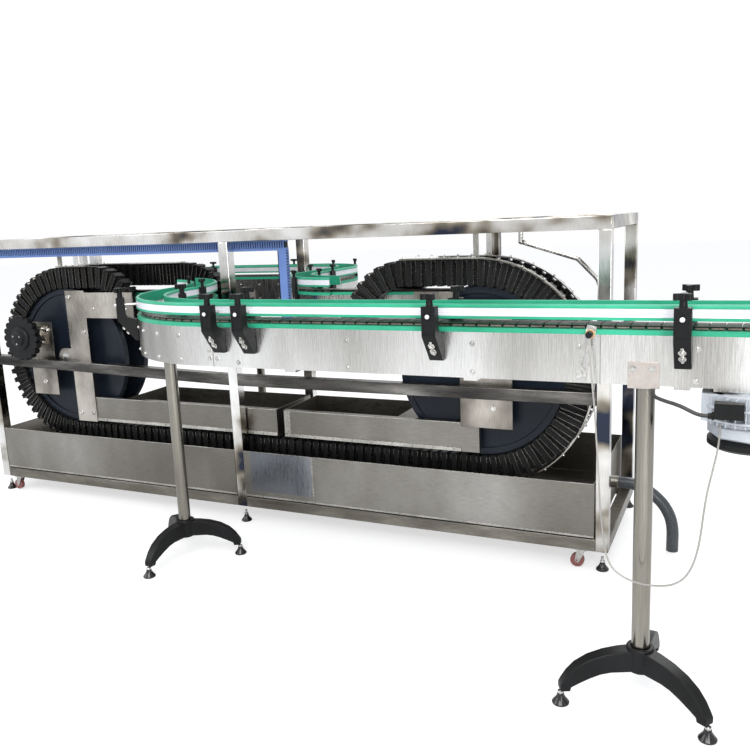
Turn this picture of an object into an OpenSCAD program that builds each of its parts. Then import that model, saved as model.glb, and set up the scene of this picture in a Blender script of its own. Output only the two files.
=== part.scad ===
/* [Frame] */
// Length of the machine frame
frame_l = 3310; // [3250:10:3700]
// Depth of the machine frame
frame_w = 743; // [730:1:850]
// Height of the machine frame
frame_h = 1382; // [1350:1:1450]
// Side of the square frame tubes
tube = 50; // [40:1:60]
// Height of the bottom rails above the floor
ground_gap = 82; // [80:1:100]
// Middle of the middle posts from the right end
mid_post_at = 1703; // [1690:1:1720]
// Underside of the right middle rail above the floor
mid_rail_z = 672; // [650:1:680]
// Rise of the left middle rail towards the left end
mid_rail_rise = 46; // [0:1:60]

/* [Wash tank] */
// Height of the tank floor above the floor
tank_z = 167; // [160:1:180]
// Height of the tank rim above the floor
tank_rim_z = 360; // [340:1:380]
// Sheet thickness of the tank
tank_t = 3; // [2:0.5:5]

/* [Gripper loops] */
// Height of the wheel shafts above the floor
loop_z = 765; // [760:1:775]
// Left wheel shaft from the right end
left_wheel_at = 2785; // [2740:1:2790]
// Right wheel shaft from the right end
right_wheel_at = 540; // [530:1:600]
// Radius of the chain line round the wheels
chain_r = 410; // [405:1:415]
// Radial length of a gripper block
block_l = 110; // [100:1:114]
// Width of a gripper block along the chain
block_w = 32; // [28:1:33]
// Depth of a gripper block from front to back
block_d = 75; // [60:1:75]
// Front face of the front loop behind the frame's front
loop_y = 80; // [80:1:84]
// Width of the gap in which the bottles are held
bottle_gap = 70; // [60:1:72]
// Chain pitch that the blocks are spaced by
chain_pitch = 44.45; // [44:0.05:50]
// Thickness of the chain between the blocks
link_t = 12; // [8:1:20]
// Drop of the chains where the conveyors cross
dip_h = 300; // [295:1:305]
// Bend radius of the chain line in a dip
dip_r = 225; // [222:1:240]

/* [Conveyors] */
// Width of a conveyor over its side plates
lane_w = 114; // [106:1:118]
// Height of the side plates
plate_h = 133; // [120:1:140]
// Thickness of the side plates
plate_t = 3; // [2:0.5:4]
// Top edge of the side plates above the floor
plate_top = 1078; // [1070:1:1080]
// Front plate of the infeed conveyor in front of the frame
lane_out = 867; // [860:1:880]
// Radius of the infeed bends at the middle of the chain
bend_r = 500; // [498:1:502]
// Gap between the infeed conveyor and the middle post
post_gap = 20; // [12:1:25]
// Right end of the infeed conveyor beyond the frame
lane_over = 640; // [600:10:700]
// Width of the slat chain
slat_w = 82.6; // [70:0.1:90]
// Thickness of the slat chain with its hinges
slat_t = 10; // [8:1:14]
// Height of the wear strips
wear_t = 13; // [8:1:14]
// Height of a guide rail
rail_h = 48; // [40:1:56]
// Gap between the chain and the guide rails
rail_gap = 13; // [8:1:20]

/* [Columns] */
// Diameter of a column tube
column_d = 50; // [45:1:55]
// Middle of a tripod to each of its feet
tripod_r = 230; // [200:5:240]
// Height of the tripod hub
tripod_hub_h = 75; // [60:1:90]

/* [Hidden] */
$fn = 96;
cut = 1;

// Frame
inner_h = frame_h - ground_gap - tube;
post_xs = [-tube, -mid_post_at - tube / 2, -frame_l];
back_y = frame_w - tube;
mid_rail_end = mid_rail_z + mid_rail_rise;
tank_side_gap = 5;

// Machine feet and casters
foot_pad_r = 28;
foot_pad_h = 22;
foot_pad_top_share = 0.55;
stud_r = 6;
foot_inset = 25;
caster_inset = 105;
caster_r = 27;
caster_w = 20;
caster_lift = 4;
caster_trail = 18;
caster_plate = 46;
caster_plate_t = 4;
cheek_t = 3;
axle_r = 4;
fit = 0.05;
seat = 0.3;

// Loops
rear_loop_y = loop_y + block_d + bottle_gap;
run_top = loop_z + chain_r;
run_low = run_top - dip_h;
dip_angle = acos(1 - dip_h / (2 * dip_r));
dip_l = 2 * dip_r * sin(dip_angle);
left_x = -left_wheel_at;
right_x = -right_wheel_at;
wheel_r = (chain_r - block_l / 2) * cos(90 * chain_pitch / (PI * chain_r)) - 1;
wheel_t = 30;
web_t = 12;
rim_h = 28;
hub_r = 55;
hub_l = 60;
shaft_r = 20;

// Conveyor line
half_w = lane_w / 2;
front_lane_y = -lane_out + half_w;
bend_y = front_lane_y + bend_r;
bend2_x = -(mid_post_at + tube / 2 + post_gap) - sqrt(pow(bend_r + half_w, 2) - pow(bend_y, 2));
bend1_x = bend2_x + 2 * bend_r;
inner_lane_y = bend_y + bend_r;
in_end_x = -2700;
out_start_x = -600;
out_bend_r = 300;
out_bend_x = -1240;
out_straight = 350;
out_end_x = -2650;
out_lane_y = inner_lane_y + 2 * out_bend_r + out_straight;
narrow_w = bottle_gap - 4;
narrow_slat_w = narrow_w - 9;
narrow_wear_w = 6;
lane_joint = 0.3;
chain_z = plate_top + wear_t;
lane_top = chain_z + slat_t;
plate_z = plate_top - plate_h;
wear_w = 27;
rail_t = 12;
rail_core_t = 6;
rail_out = slat_w / 2 + 4;

// Places are counted from the frame's front right corner, and the origin is the middle of the whole
mid_x = (lane_over - frame_l) / 2;
mid_y = (front_lane_y + tripod_r * sin(326) + out_lane_y + tripod_r * sin(60)) / 2;
module placed() translate([-mid_x, -mid_y, 0]) children();

// Walks along a path of [length, curvature] steps from the pose [x, y, heading]
function step_end(p, s) = s[1] == 0
    ? [p[0] + s[0] * cos(p[2]), p[1] + s[0] * sin(p[2]), p[2]]
    : let (a = s[0] * s[1] * 180 / PI)
      [p[0] + (sin(p[2] + a) - sin(p[2])) / s[1], p[1] - (cos(p[2] + a) - cos(p[2])) / s[1], p[2] + a];
function path_length(path, i = 1) = i < len(path) ? path[i][0] + path_length(path, i + 1) : 0;
function pose_at(path, d, p, i = 1) = i >= len(path) - 1 || d <= path[i][0]
    ? step_end(p, [d, path[i][1]])
    : pose_at(path, d - path[i][0], step_end(p, path[i]), i + 1);

// A loop's chain line, from the top of the left wheel, seen from the front
function arc_l(r, a) = PI * r * a / 180;
function loop_path(x1, x2) = [[left_x, run_top, 0],
    [x1 - left_x, 0], [arc_l(dip_r, dip_angle), -1 / dip_r], [arc_l(dip_r, dip_angle), 1 / dip_r],
    [x2 - x1 - 2 * dip_l, 0], [arc_l(dip_r, dip_angle), 1 / dip_r], [arc_l(dip_r, dip_angle), -1 / dip_r],
    [right_x - x2, 0], [arc_l(chain_r, 180), -1 / chain_r],
    [right_x - left_x, 0], [arc_l(chain_r, 180), -1 / chain_r]];
front_dips = [-2574, -863];
rear_dips = [-2107, -756];
function front_path() = loop_path(front_dips[0], front_dips[1]);
function rear_path() = loop_path(rear_dips[0], rear_dips[1]);
n_front = floor(path_length(front_path()) / chain_pitch);
n_rear = floor(path_length(rear_path()) / chain_pitch);

// The joints between the links, then each link with its block above and below the chain line
function joints(path, n) = let (l = path_length(path) / n)
    [for (i = [0:n - 1]) let (p = pose_at(path, i * l, path[0])) [p[0], p[1]]];
function link_side(v, n, side) = [for (i = [0:n - 1])
    let (a = v[i], b = v[(i + 1) % n], d = b - a, l = norm(d), t = d / l, m = [-t[1], t[0]] * side,
         c = (a + b) / 2, lo = link_t / 2, hi = block_l / 2, w = block_w / 2)
    each [c - t * w + m * lo, c - t * w + m * hi, c + t * w + m * hi, c + t * w + m * lo]];
module gripper_chain(path, n, y) {
    v = joints(path, n);
    top = link_side(v, n, 1);
    low = link_side(v, n, -1);
    k = len(top);
    translate([0, y + block_d, 0]) rotate([90, 0, 0]) linear_extrude(height = block_d)
        polygon(points = concat(top, low), paths = [[for (i = [0:k - 1]) i], [for (i = [0:k - 1]) k + i]]);
}

// Frame pieces
module frame_posts() color("silver") placed()
    for (x = post_xs, y = [0, back_y]) translate([x, y, ground_gap]) cube([tube, tube, inner_h]);
module long_rails() color("silver") placed() {
    for (y = [0, back_y]) {
        translate([-frame_l, y, frame_h - tube]) cube([frame_l, tube, tube]);
        for (i = [0, 1]) translate([post_xs[i + 1] + tube, y, ground_gap])
            cube([post_xs[i] - post_xs[i + 1] - tube, tube, tube]);
        translate([post_xs[1] + tube, y, mid_rail_z]) cube([post_xs[0] - post_xs[1] - tube, tube, tube]);
    }
}
module middle_rail_left() color("silver") placed()
    for (y = [0, back_y]) translate([0, y + tube, 0]) rotate([90, 0, 0]) linear_extrude(height = tube)
        polygon([[-frame_l + tube, mid_rail_end], [post_xs[1], mid_rail_z],
            [post_xs[1], mid_rail_z + tube], [-frame_l + tube, mid_rail_end + tube]]);
module cross_rails() color("silver") placed() {
    for (x = post_xs) translate([x, tube, ground_gap]) cube([tube, frame_w - 2 * tube, tube]);
    for (x = post_xs) translate([x, tube, frame_h - tube]) cube([tube, frame_w - 2 * tube, tube]);
}

// Feet
module levelling_foot(top) {
    rotate_extrude() polygon([[0, 0], [foot_pad_r, 0], [foot_pad_r, foot_pad_h * 0.3],
        [foot_pad_r * foot_pad_top_share, foot_pad_h], [stud_r, foot_pad_h], [stud_r, top], [0, top]]);
}
module machine_feet() color("dimgray") placed()
    for (x = post_xs, y = [0, back_y]) translate([x + foot_inset, y + foot_inset, 0]) levelling_foot(ground_gap);

// Casters: 1 front right, 2 front left, 3 back right, 4 back left
function caster_place(i) = [i % 2 == 0 ? -caster_inset : -frame_l + caster_inset,
    i < 2 ? tube / 2 : frame_w - tube / 2];
wheel_z = caster_r + caster_lift;
stem_r = 8;
fork_z = ground_gap - caster_plate_t - seat;
module caster_plates() color("silver") placed() for (i = [0:3]) translate([caster_place(i)[0], caster_place(i)[1], 0])
    difference() {
        translate([-caster_plate / 2, -caster_plate / 2, ground_gap - caster_plate_t])
            cube([caster_plate, caster_plate, caster_plate_t]);
        cylinder(r = stem_r + fit, h = frame_h);
    }
module caster_fork(i) color("dimgray") placed() translate([caster_place(i)[0], caster_place(i)[1], 0]) {
    translate([0, 0, fork_z - cheek_t]) cylinder(r = stem_r, h = ground_gap - seat - fork_z + cheek_t);
    difference() {
        union() {
            translate([0, 0, fork_z - cheek_t]) cylinder(r = caster_plate * 0.45, h = cheek_t);
            for (s = [-1, 1]) translate([0, s * (caster_w / 2 + 1 + cheek_t / 2) + cheek_t / 2, 0])
                rotate([90, 0, 0]) linear_extrude(height = cheek_t) polygon([
                    [caster_plate * 0.35, fork_z], [-caster_plate * 0.4, fork_z], [-caster_trail - axle_r * 2, wheel_z],
                    [-caster_trail - axle_r, wheel_z - axle_r * 2], [-caster_trail + axle_r * 2, wheel_z - axle_r * 2]]);
        }
        translate([-caster_trail, 0, wheel_z]) rotate([90, 0, 0])
            cylinder(r = axle_r + fit, h = 2 * caster_w, center = true);
    }
}
module caster_fork_1() caster_fork(0);
module caster_fork_2() caster_fork(1);
module caster_fork_3() caster_fork(2);
module caster_fork_4() caster_fork(3);
module caster_wheel(i) color("firebrick") placed() {
    p = caster_place(i);
    translate([p[0] - caster_trail, p[1], wheel_z]) rotate([90, 0, 0]) {
        cylinder(r = caster_r, h = caster_w, center = true);
        cylinder(r = axle_r, h = caster_w + 2 + 2 * cheek_t, center = true);
    }
}
module caster_wheel_1() caster_wheel(0);
module caster_wheel_2() caster_wheel(1);
module caster_wheel_3() caster_wheel(2);
module caster_wheel_4() caster_wheel(3);

// Tank between the posts, standing on the cross rails
tank_l = frame_l - 2 * tube - 2 * tank_side_gap;
drain_z = 278;
drain_y = 300;
hose_r = 24;
module wash_tank() color("gainsboro") placed() {
    difference() {
        translate([-frame_l + tube + tank_side_gap, 0, ground_gap + tube])
            cube([tank_l, frame_w, tank_rim_z - ground_gap - tube]);
        translate([-frame_l + tube + tank_side_gap + tank_t, tank_t, tank_z])
            cube([tank_l - 2 * tank_t, frame_w - 2 * tank_t, tank_rim_z]);
        for (y = [0, back_y]) translate([post_xs[1] - seat, y == 0 ? -cut : y - seat, 0])
            cube([tube + 2 * seat, tube + cut + seat, frame_h]);
    }
    translate([-tube - tank_side_gap, drain_y, drain_z]) rotate([0, 90, 0]) cylinder(r = hose_r + 2, h = tube - seat);
}

// Inner boxes and plates between the loops' ends
plate_y = tube;
inner_t = 6;
box_z = [430, 556];
box_xs = [[-2700, -1512, -2420, -1512], [-1474, -533, -1474, -905]];
box_back_y = 378;
box_front_y = loop_y - 2;
module rinse_boxes() color("silver") placed() for (b = box_xs) {
    h = box_z[1] - box_z[0];
    translate([b[0], plate_y + inner_t, box_z[0]]) cube([b[1] - b[0], box_front_y - plate_y - inner_t, h]);
    difference() {
        translate([b[2], box_front_y, box_z[0]]) cube([b[3] - b[2], box_back_y - box_front_y, h]);
        translate([b[2] + tank_t, box_front_y + tank_t, box_z[0] + tank_t])
            cube([b[3] - b[2] - 2 * tank_t, box_back_y - box_front_y - 2 * tank_t, h]);
    }
}
gear_x = -2955;
gear_z = 878;
plate_hole = shaft_r + fit;
module front_plate(x0, x1, z0, z1) translate([x0, plate_y, z0]) cube([x1 - x0, inner_t, z1 - z0]);
ear_r = plate_hole + 26;
module bearing_plate(x0, x1, z0, z1, hole_x, hole_z) difference() {
    union() {
        front_plate(x0, x1, z0, z1);
        if (hole_x - ear_r < x0) hull() {
            translate([hole_x, plate_y, hole_z]) rotate([-90, 0, 0]) cylinder(r = ear_r, h = inner_t);
            translate([x0, plate_y, hole_z - ear_r]) cube([inner_t, inner_t, 2 * ear_r]);
        }
    }
    translate([hole_x, 0, hole_z]) rotate([-90, 0, 0]) cylinder(r = plate_hole, h = frame_w);
}
module support_plates() color("silver") placed() {
    bearing_plate(-3035, -2862, 557, 947, gear_x, gear_z);
    bearing_plate(-2742, -2614, 424, 1112, left_x, loop_z);
    bearing_plate(-610, -389, 540, 1060, right_x, loop_z);
}
module cross_beams() color("silver") placed() {
    front_plate(-2614, -2300, 972, 1102);
    front_plate(-800, -610, 1000, 1102);
}
// Square flange bearings on the front of the plates
bearing_side = 96;
bearing_t = 14;
bearing_r = 36;
module flange_bearing(x, z) difference() {
    union() {
        translate([x - bearing_side / 2, plate_y - bearing_t - seat, z - bearing_side / 2])
            cube([bearing_side, bearing_t, bearing_side]);
        translate([x, plate_y - 2 * bearing_t, z]) rotate([-90, 0, 0]) cylinder(r = bearing_r, h = bearing_t);
    }
    translate([x, -frame_w, z]) rotate([-90, 0, 0]) cylinder(r = plate_hole, h = 2 * frame_w);
}
module gear_bearing() color("slategray") placed() flange_bearing(gear_x, gear_z);

// Cross bars between the top rails, and the stands that carry the wheel shafts behind the loops
top_bar_w = 40;
top_bar_h = 30;
stand_y = rear_loop_y + block_d + 20;
stand_w = 50;
stand_d = 40;
top_bar_xs = [left_x, -2300, -1150, right_x, -417];
module top_cross_bars() color("silver") placed() for (x = top_bar_xs)
    translate([x - top_bar_w / 2, tube, frame_h - tube]) cube([top_bar_w, frame_w - 2 * tube, top_bar_h]);
module bearing_stands() color("silver") placed() for (x = [left_x, right_x]) difference() {
    translate([x - stand_w / 2, stand_y, tank_z + seat]) cube([stand_w, stand_d, frame_h - tube - tank_z - 2 * seat]);
    translate([x, 0, loop_z]) rotate([-90, 0, 0]) cylinder(r = plate_hole, h = stand_y + stand_d - 2);
}
gearbox = [160, 100, 160];
drive_motor_r = 70;
drive_motor_l = 190;
module chain_drive() color("steelblue") placed() translate([right_x, stand_y + stand_d + seat, loop_z]) {
    translate([-gearbox[0] / 2, 0, -gearbox[2] / 2]) cube(gearbox);
    translate([0, gearbox[1], 0]) rotate([-90, 0, 0]) cylinder(r = drive_motor_r, h = drive_motor_l);
}
// Sealed transducer boxes on the floor of the tank
transducer = [520, 260, 70];
module transducer_boxes() color("silver") placed() for (x = [-2900, -2000, -1100])
    translate([x, frame_w - 80 - transducer[1], tank_z + seat]) cube(transducer);

// Chains and guides
module front_gripper_chain() color("#202224") placed() gripper_chain(front_path(), n_front, loop_y);
module rear_gripper_chain() color("#202224") placed() gripper_chain(rear_path(), n_rear, rear_loop_y);
guide_t = 5;
guide_r = chain_r + block_l / 2 + 2;
module guide_arc(x, y, from, sweep) translate([x, y, loop_z]) rotate([90, 0, 0]) rotate([0, 0, from])
    rotate_extrude(angle = sweep) translate([guide_r, 0]) square([guide_t, guide_w]);
guide_w = 28;
hanger_w = 20;
strip_over = 14;
module guide_straight(x0, x1, y) translate([x0, y, loop_z + guide_r]) cube([x1 - x0, guide_w + strip_over, guide_t]);
module guide_track(y, left_end, right_end) {
    guide_arc(right_x, y + guide_w, -80, 170);
    guide_straight(right_end, right_x, y);
    guide_straight(left_x, left_end, y);
    for (x = [left_x, right_x]) translate([x - hanger_w / 2, y + guide_w + 1, loop_z + guide_r + guide_t])
        cube([hanger_w, strip_over - 2, frame_h - tube - loop_z - guide_r - guide_t]);
}
module front_guide_track() color("silver") placed() guide_track(tube + seat, -2590, -863);
module rear_guide_track() color("silver") placed() guide_track(rear_loop_y + 3, -2125, -756);

// Slotted wiring ducts behind the top rail
duct_w = 28;
duct_h = 46;
duct_x = -1446;
duct_top = frame_h - tube - seat;
module wiring_duct() color("royalblue") placed() {
    translate([-frame_l + tube, tube, duct_top - duct_h]) cube([duct_x + frame_l - tube, duct_w, duct_h]);
    translate([duct_x, tube, 923]) cube([duct_h - 4, duct_w, duct_top - 923]);
}

// Bent rinse pipe from the top bars down into the tank
pipe_r = 10;
pipe_points = [[-417, 313, 1331.7], [-417, 313, 1284], [-182, 313, 1209], [-102, 313, 1127], [-70, 313, 1034], [-70, 313, 180]];
module stick(a, b, r) {
    d = b - a;
    translate(a) rotate([0, acos(d[2] / norm(d)), atan2(d[1], d[0])]) cylinder(r = r, h = norm(d));
}
module rinse_pipe() color("silver") placed() for (i = [0:len(pipe_points) - 2]) {
    stick(pipe_points[i], pipe_points[i + 1], pipe_r);
    if (i > 0) translate(pipe_points[i]) sphere(r = pipe_r * 1.12);
}

// Wheels
module wheel(x, y) translate([x, y, loop_z]) rotate([-90, 0, 0]) rotate_extrude() polygon([
    [shaft_r + fit, 0], [hub_r, 0], [hub_r, (hub_l - web_t) / 2], [wheel_r - rim_h, (hub_l - web_t) / 2],
    [wheel_r - rim_h, (hub_l - wheel_t) / 2], [wheel_r, (hub_l - wheel_t) / 2], [wheel_r, (hub_l + wheel_t) / 2],
    [wheel_r - rim_h, (hub_l + wheel_t) / 2], [wheel_r - rim_h, (hub_l + web_t) / 2], [hub_r, (hub_l + web_t) / 2],
    [hub_r, hub_l], [shaft_r + fit, hub_l]]);
wheel_in = (block_d - hub_l) / 2;
module wheel_pair(x) {
    wheel(x, loop_y + wheel_in);
    wheel(x, rear_loop_y + wheel_in);
}
module shaft(x) translate([x, plate_y + seat, loop_z]) rotate([-90, 0, 0])
    cylinder(r = shaft_r, h = stand_y + stand_d - 3 - plate_y);
module left_shaft() color("gray") placed() shaft(left_x);
module right_shaft() color("gray") placed() shaft(right_x);
module left_wheels() color("#15181c") placed() wheel_pair(left_x);
module right_wheels() color("#15181c") placed() wheel_pair(right_x);

gear_r = 117;
gear_t = 34;
gear_y = -78;
gear_teeth = 18;
module hand_gear() color("#202224") placed() translate([gear_x, gear_y, gear_z]) rotate([-90, 0, 0]) {
    linear_extrude(height = gear_t) polygon([for (i = [0:gear_teeth * 4 - 1])
        let (r = i % 4 < 2 ? gear_r : gear_r * 0.84, a = (i + (i % 2 == 0 ? 0.15 : -0.15)) * 90 / gear_teeth)
        [r * cos(a), r * sin(a)]]);
    translate([0, 0, gear_t]) cylinder(r = hub_r, h = 24);
    cylinder(r = shaft_r, h = loop_y - gear_y - 4);
}

// Conveyors: a lane is a pose and [length, curvature] steps, seen from above
function in_path() = [[lane_over, front_lane_y, 180],
    [lane_over - bend1_x, 0], [arc_l(bend_r, 90), -1 / bend_r], [arc_l(bend_r, 90), 1 / bend_r]];
function in_rail_path() = [[lane_over, front_lane_y, 180],
    [lane_over - bend1_x, 0], [arc_l(bend_r, 90), -1 / bend_r], [arc_l(bend_r, 70), 1 / bend_r]];
function out_path() = [[out_bend_x, inner_lane_y, 180],
    [arc_l(out_bend_r, 90), -1 / out_bend_r], [out_straight, 0],
    [arc_l(out_bend_r, 90), 1 / out_bend_r], [out_bend_x - 2 * out_bend_r - out_end_x, 0]];
function narrow_in_path() = [[bend2_x - lane_joint, inner_lane_y, 180], [bend2_x - lane_joint - in_end_x, 0]];
function narrow_out_path() = [[out_start_x, inner_lane_y, 180], [out_start_x - out_bend_x - lane_joint, 0]];
function starts(path) = [for (i = 1, p = path[0]; i < len(path); p = step_end(p, path[i]), i = i + 1) p];

// Sweeps a bar of the given width and height along one side of a lane
module lane_bar(path, off, w, z, h) {
    s = starts(path);
    for (i = [0:len(s) - 1]) {
        p = s[i];
        l = path[i + 1][0];
        k = path[i + 1][1];
        a = l * k * 180 / PI;
        translate([p[0], p[1], z]) rotate([0, 0, p[2]])
            if (k == 0) translate([0, off - w / 2, 0]) cube([l, w, h]);
            else translate([0, 1 / k, 0]) rotate([0, 0, k > 0 ? -90 : 90 + a])
                rotate_extrude(angle = abs(a)) translate([abs(1 / k - off) - w / 2, 0]) square([w, h]);
    }
}
module side_plates(path, w = lane_w) for (s = [-1, 1])
    lane_bar(path, s * (w - plate_t) / 2, plate_t, plate_z, plate_h);
module wear_strips(path, w = lane_w, t = wear_w) for (s = [-1, 1]) lane_bar(path, s * (w - t) / 2, t, plate_top, wear_t);
module slat_chain(path, w = slat_w) lane_bar(path, 0, w, chain_z, slat_t);
module guide_rails(path) for (s = [-1, 1]) lane_bar(path, s * (rail_out + rail_t / 2), rail_t, lane_top + rail_gap, rail_h);
// Driven sprocket at the right end of the infeed
sprocket_x = lane_over - 60;
sprocket_r = 46;
sprocket_t = 30;
sprocket_shaft_r = 12;
sprocket_z = chain_z - sprocket_r - 1;
module infeed_side_plates() color("gainsboro") placed() difference() {
    side_plates(in_path());
    translate([sprocket_x, front_lane_y, sprocket_z]) rotate([90, 0, 0])
        cylinder(r = sprocket_shaft_r + fit, h = 2 * lane_w, center = true);
}
module drive_sprocket() color("#4a4540") placed() translate([sprocket_x, front_lane_y, sprocket_z]) rotate([90, 0, 0]) {
    cylinder(r = sprocket_r, h = sprocket_t, center = true);
    cylinder(r = sprocket_shaft_r, h = lane_w + 16, center = true);
}
// Gear motor hung under the driven end
motor_x = 475;
motor_r = 118;
motor_top = plate_z - 8;
module lane_motor() color("silver") placed() translate([motor_x, front_lane_y, 0]) rotate_extrude() polygon([
    [0, motor_top - seat], [60, motor_top - seat], [60, 930], [motor_r, 930], [motor_r, 882], [100, 851],
    [100, 817], [0, 817]]);
module motor_covers() color("#202224") placed() {
    translate([motor_x, front_lane_y, 0]) rotate_extrude() polygon([
        [0, 816.7], [92, 816.7], [104, 808], [104, 794], [92, 786], [0, 786]]);
    translate([motor_x - 50, front_lane_y - motor_r - 10, 906]) difference() {
        translate([-34, -14, -20]) cube([68, 34, 40]);
        translate([50, motor_r + 10, -50]) cylinder(r = motor_r + seat, h = 100, $fn = 360);
    }
    translate([motor_x - 84, front_lane_y - motor_r - 10, 891]) rotate([0, -90, 0]) cylinder(r = 8, h = 14);
}
// Photo sensor on its slotted strip
strip_t = 3;
strip_w = 26;
module sensor_strip() color("silver") placed() translate([53, front_lane_y - half_w - seat, 955]) rotate([0, 11.4, 0])
    translate([0, 0, 0]) rotate([90, 0, 0]) linear_extrude(height = strip_t) difference() {
        translate([-strip_w / 2, 0]) square([strip_w, 150]);
        translate([-3, 40]) square([6, 95]);
    }
module lane_sensor() color("#202224") placed() translate([78, front_lane_y - half_w - seat - strip_t - 24, 1080])
    rotate([-90, 0, 0]) cylinder(r = 9, h = 24 - seat);
// Stays between the lanes and the frame's middle posts
stay_w = 20;
stay_h = 40;
module lane_stays() color("silver") placed() {
    difference() {
        translate([-mid_post_at - stay_w / 2, -140, plate_z + 10]) cube([stay_w, 140, stay_h]);
        translate([bend2_x, bend_y, 0]) cylinder(r = bend_r + half_w + seat, h = frame_h, $fn = 720);
    }
    translate([post_xs[1] + tube, back_y + 10, plate_z + 10])
        cube([out_bend_x - out_bend_r - half_w - seat - post_xs[1] - tube, stay_w, stay_h]);
}
module infeed_wear_strips() color("mediumseagreen") placed() wear_strips(in_path());
module infeed_chain() color("#4a4540") placed() slat_chain(in_path());
module infeed_rails() color("seagreen") placed() guide_rails(in_rail_path());
module outfeed_side_plates() color("gainsboro") placed() side_plates(out_path());
module outfeed_wear_strips() color("mediumseagreen") placed() wear_strips(out_path());
module outfeed_chain() color("#4a4540") placed() slat_chain(out_path());
module outfeed_rails() color("seagreen") placed() guide_rails(out_path());
module transfer_plates() color("gainsboro") placed() {
    side_plates(narrow_in_path(), narrow_w);
    side_plates(narrow_out_path(), narrow_w);
    for (x = [bend2_x - lane_joint - plate_t, out_bend_x + lane_joint])
        translate([x, inner_lane_y - half_w, plate_z]) cube([plate_t, lane_w, plate_h]);
}
module transfer_wear_strips() color("mediumseagreen") placed() {
    wear_strips(narrow_in_path(), narrow_w, narrow_wear_w);
    wear_strips(narrow_out_path(), narrow_w, narrow_wear_w);
}
module transfer_chains() color("#4a4540") placed() {
    slat_chain(narrow_in_path(), narrow_slat_w);
    slat_chain(narrow_out_path(), narrow_slat_w);
}

// Cross bars under the side plates: path, distance along it, length across
bars = [[in_path(), 330], [in_path(), 900], [in_path(), 1500], [in_path(), 2380], [in_path(), 3100],
    [out_path(), 235], [out_path(), 640], [out_path(), 1120], [out_path(), 1950]];
bar_w = 40;
bar_t = 8;
motor_mount_l = 180;
module lane_cross_bars() color("silver") placed() {
    for (b = bars) {
        p = pose_at(b[0], b[1], b[0][0]);
        translate([p[0], p[1], plate_z - bar_t]) rotate([0, 0, p[2]])
            translate([-bar_w / 2, -lane_w / 2, 0]) cube([bar_w, lane_w, bar_t]);
    }
    translate([motor_x - motor_mount_l / 2, front_lane_y - half_w, motor_top]) cube([motor_mount_l, lane_w, plate_z - motor_top]);
}

// Black clamps that hold the rails: distance along the lane, side
in_clamps = [[lane_over - 312, 1], [lane_over - 312, -1], [lane_over + 357, 1], [lane_over + 357, -1],
    [lane_over + 1002, 1], [lane_over + 1120, 1], [lane_over + 1120, -1], [2290, 1], [2290, -1]];
inner_clamps = [[2700, -1], [2900, 1], [3120, -1]];
out_clamps = [[190, 1], [190, -1, 1], [600, 1], [600, -1], [1060, 1, 1], [1060, -1], [1500, 1], [1500, -1], [2000, 1], [2000, -1]];
clamp_w = 42;
clamp_t = 13;
clamp_gap = 1;
// A clamp inside a bend stands off by the bend's rise over its width
clamp_ease = pow(clamp_w / 2, 2) / (2 * (out_bend_r - half_w));
clamp_z = [1000, 1154];
knob_r = 9;
module clamp_at(path, d, side, ease) {
    p = pose_at(path, d, path[0]);
    off = half_w + clamp_gap + ease;
    translate([p[0], p[1], clamp_z[0]]) rotate([0, 0, p[2]]) scale([1, side, 1]) {
        translate([-clamp_w / 2, off, 0]) cube([clamp_w, clamp_t, clamp_z[1] - clamp_z[0]]);
        translate([0, off + clamp_t / 2, clamp_z[1] - clamp_z[0]]) cylinder(r = clamp_t * 0.45, h = 14);
        translate([0, off + clamp_t / 2, clamp_z[1] - clamp_z[0] + 14]) cylinder(r = knob_r, h = 22);
    }
}
// Clamp that leans out from its foot on the side plate, with a rod to the rail and a wing knob
clamp_foot_z = 995;
clamp_head_z = [1073, 1158];
clamp_out = [42, 72];
rod_r = 5;
rod_z = 1130;
rod_tip = 8;
neck_h = 18;
wing = [52, 14, 20];
module lean_clamp(path, d, side) {
    p = pose_at(path, d, path[0]);
    head_mid = (clamp_out[0] + clamp_out[1]) / 2;
    translate([p[0], p[1], 0]) rotate([0, 0, p[2]]) scale([1, side, 1]) translate([0, half_w, 0]) {
        rotate([90, 0, 90]) linear_extrude(height = clamp_w, center = true) polygon([
            [clamp_gap, clamp_foot_z], [clamp_gap + clamp_t, clamp_foot_z], [clamp_out[1], clamp_head_z[0]],
            [clamp_out[1], clamp_head_z[1]], [clamp_out[0], clamp_head_z[1]],
            [clamp_out[0], clamp_head_z[0] + clamp_t], [clamp_gap, clamp_head_z[0]]]);
        translate([0, 2 * seat, rod_z]) rotate([-90, 0, 0]) cylinder(r = rod_r, h = clamp_out[1] + rod_tip - 2 * seat);
        translate([0, head_mid, clamp_head_z[1]]) cylinder(r = knob_r, h = neck_h);
        translate([-wing[0] / 2, head_mid - wing[1] / 2, clamp_head_z[1] + neck_h]) cube(wing);
    }
}
module rail_clamps() color("#202224") placed() {
    for (c = in_clamps) lean_clamp(in_path(), c[0], c[1]);
    for (c = inner_clamps) clamp_at(in_path(), c[0], c[1], 0);
    for (c = out_clamps) clamp_at(out_path(), c[0], c[1], len(c) > 2 ? clamp_ease : 0);
}

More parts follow.
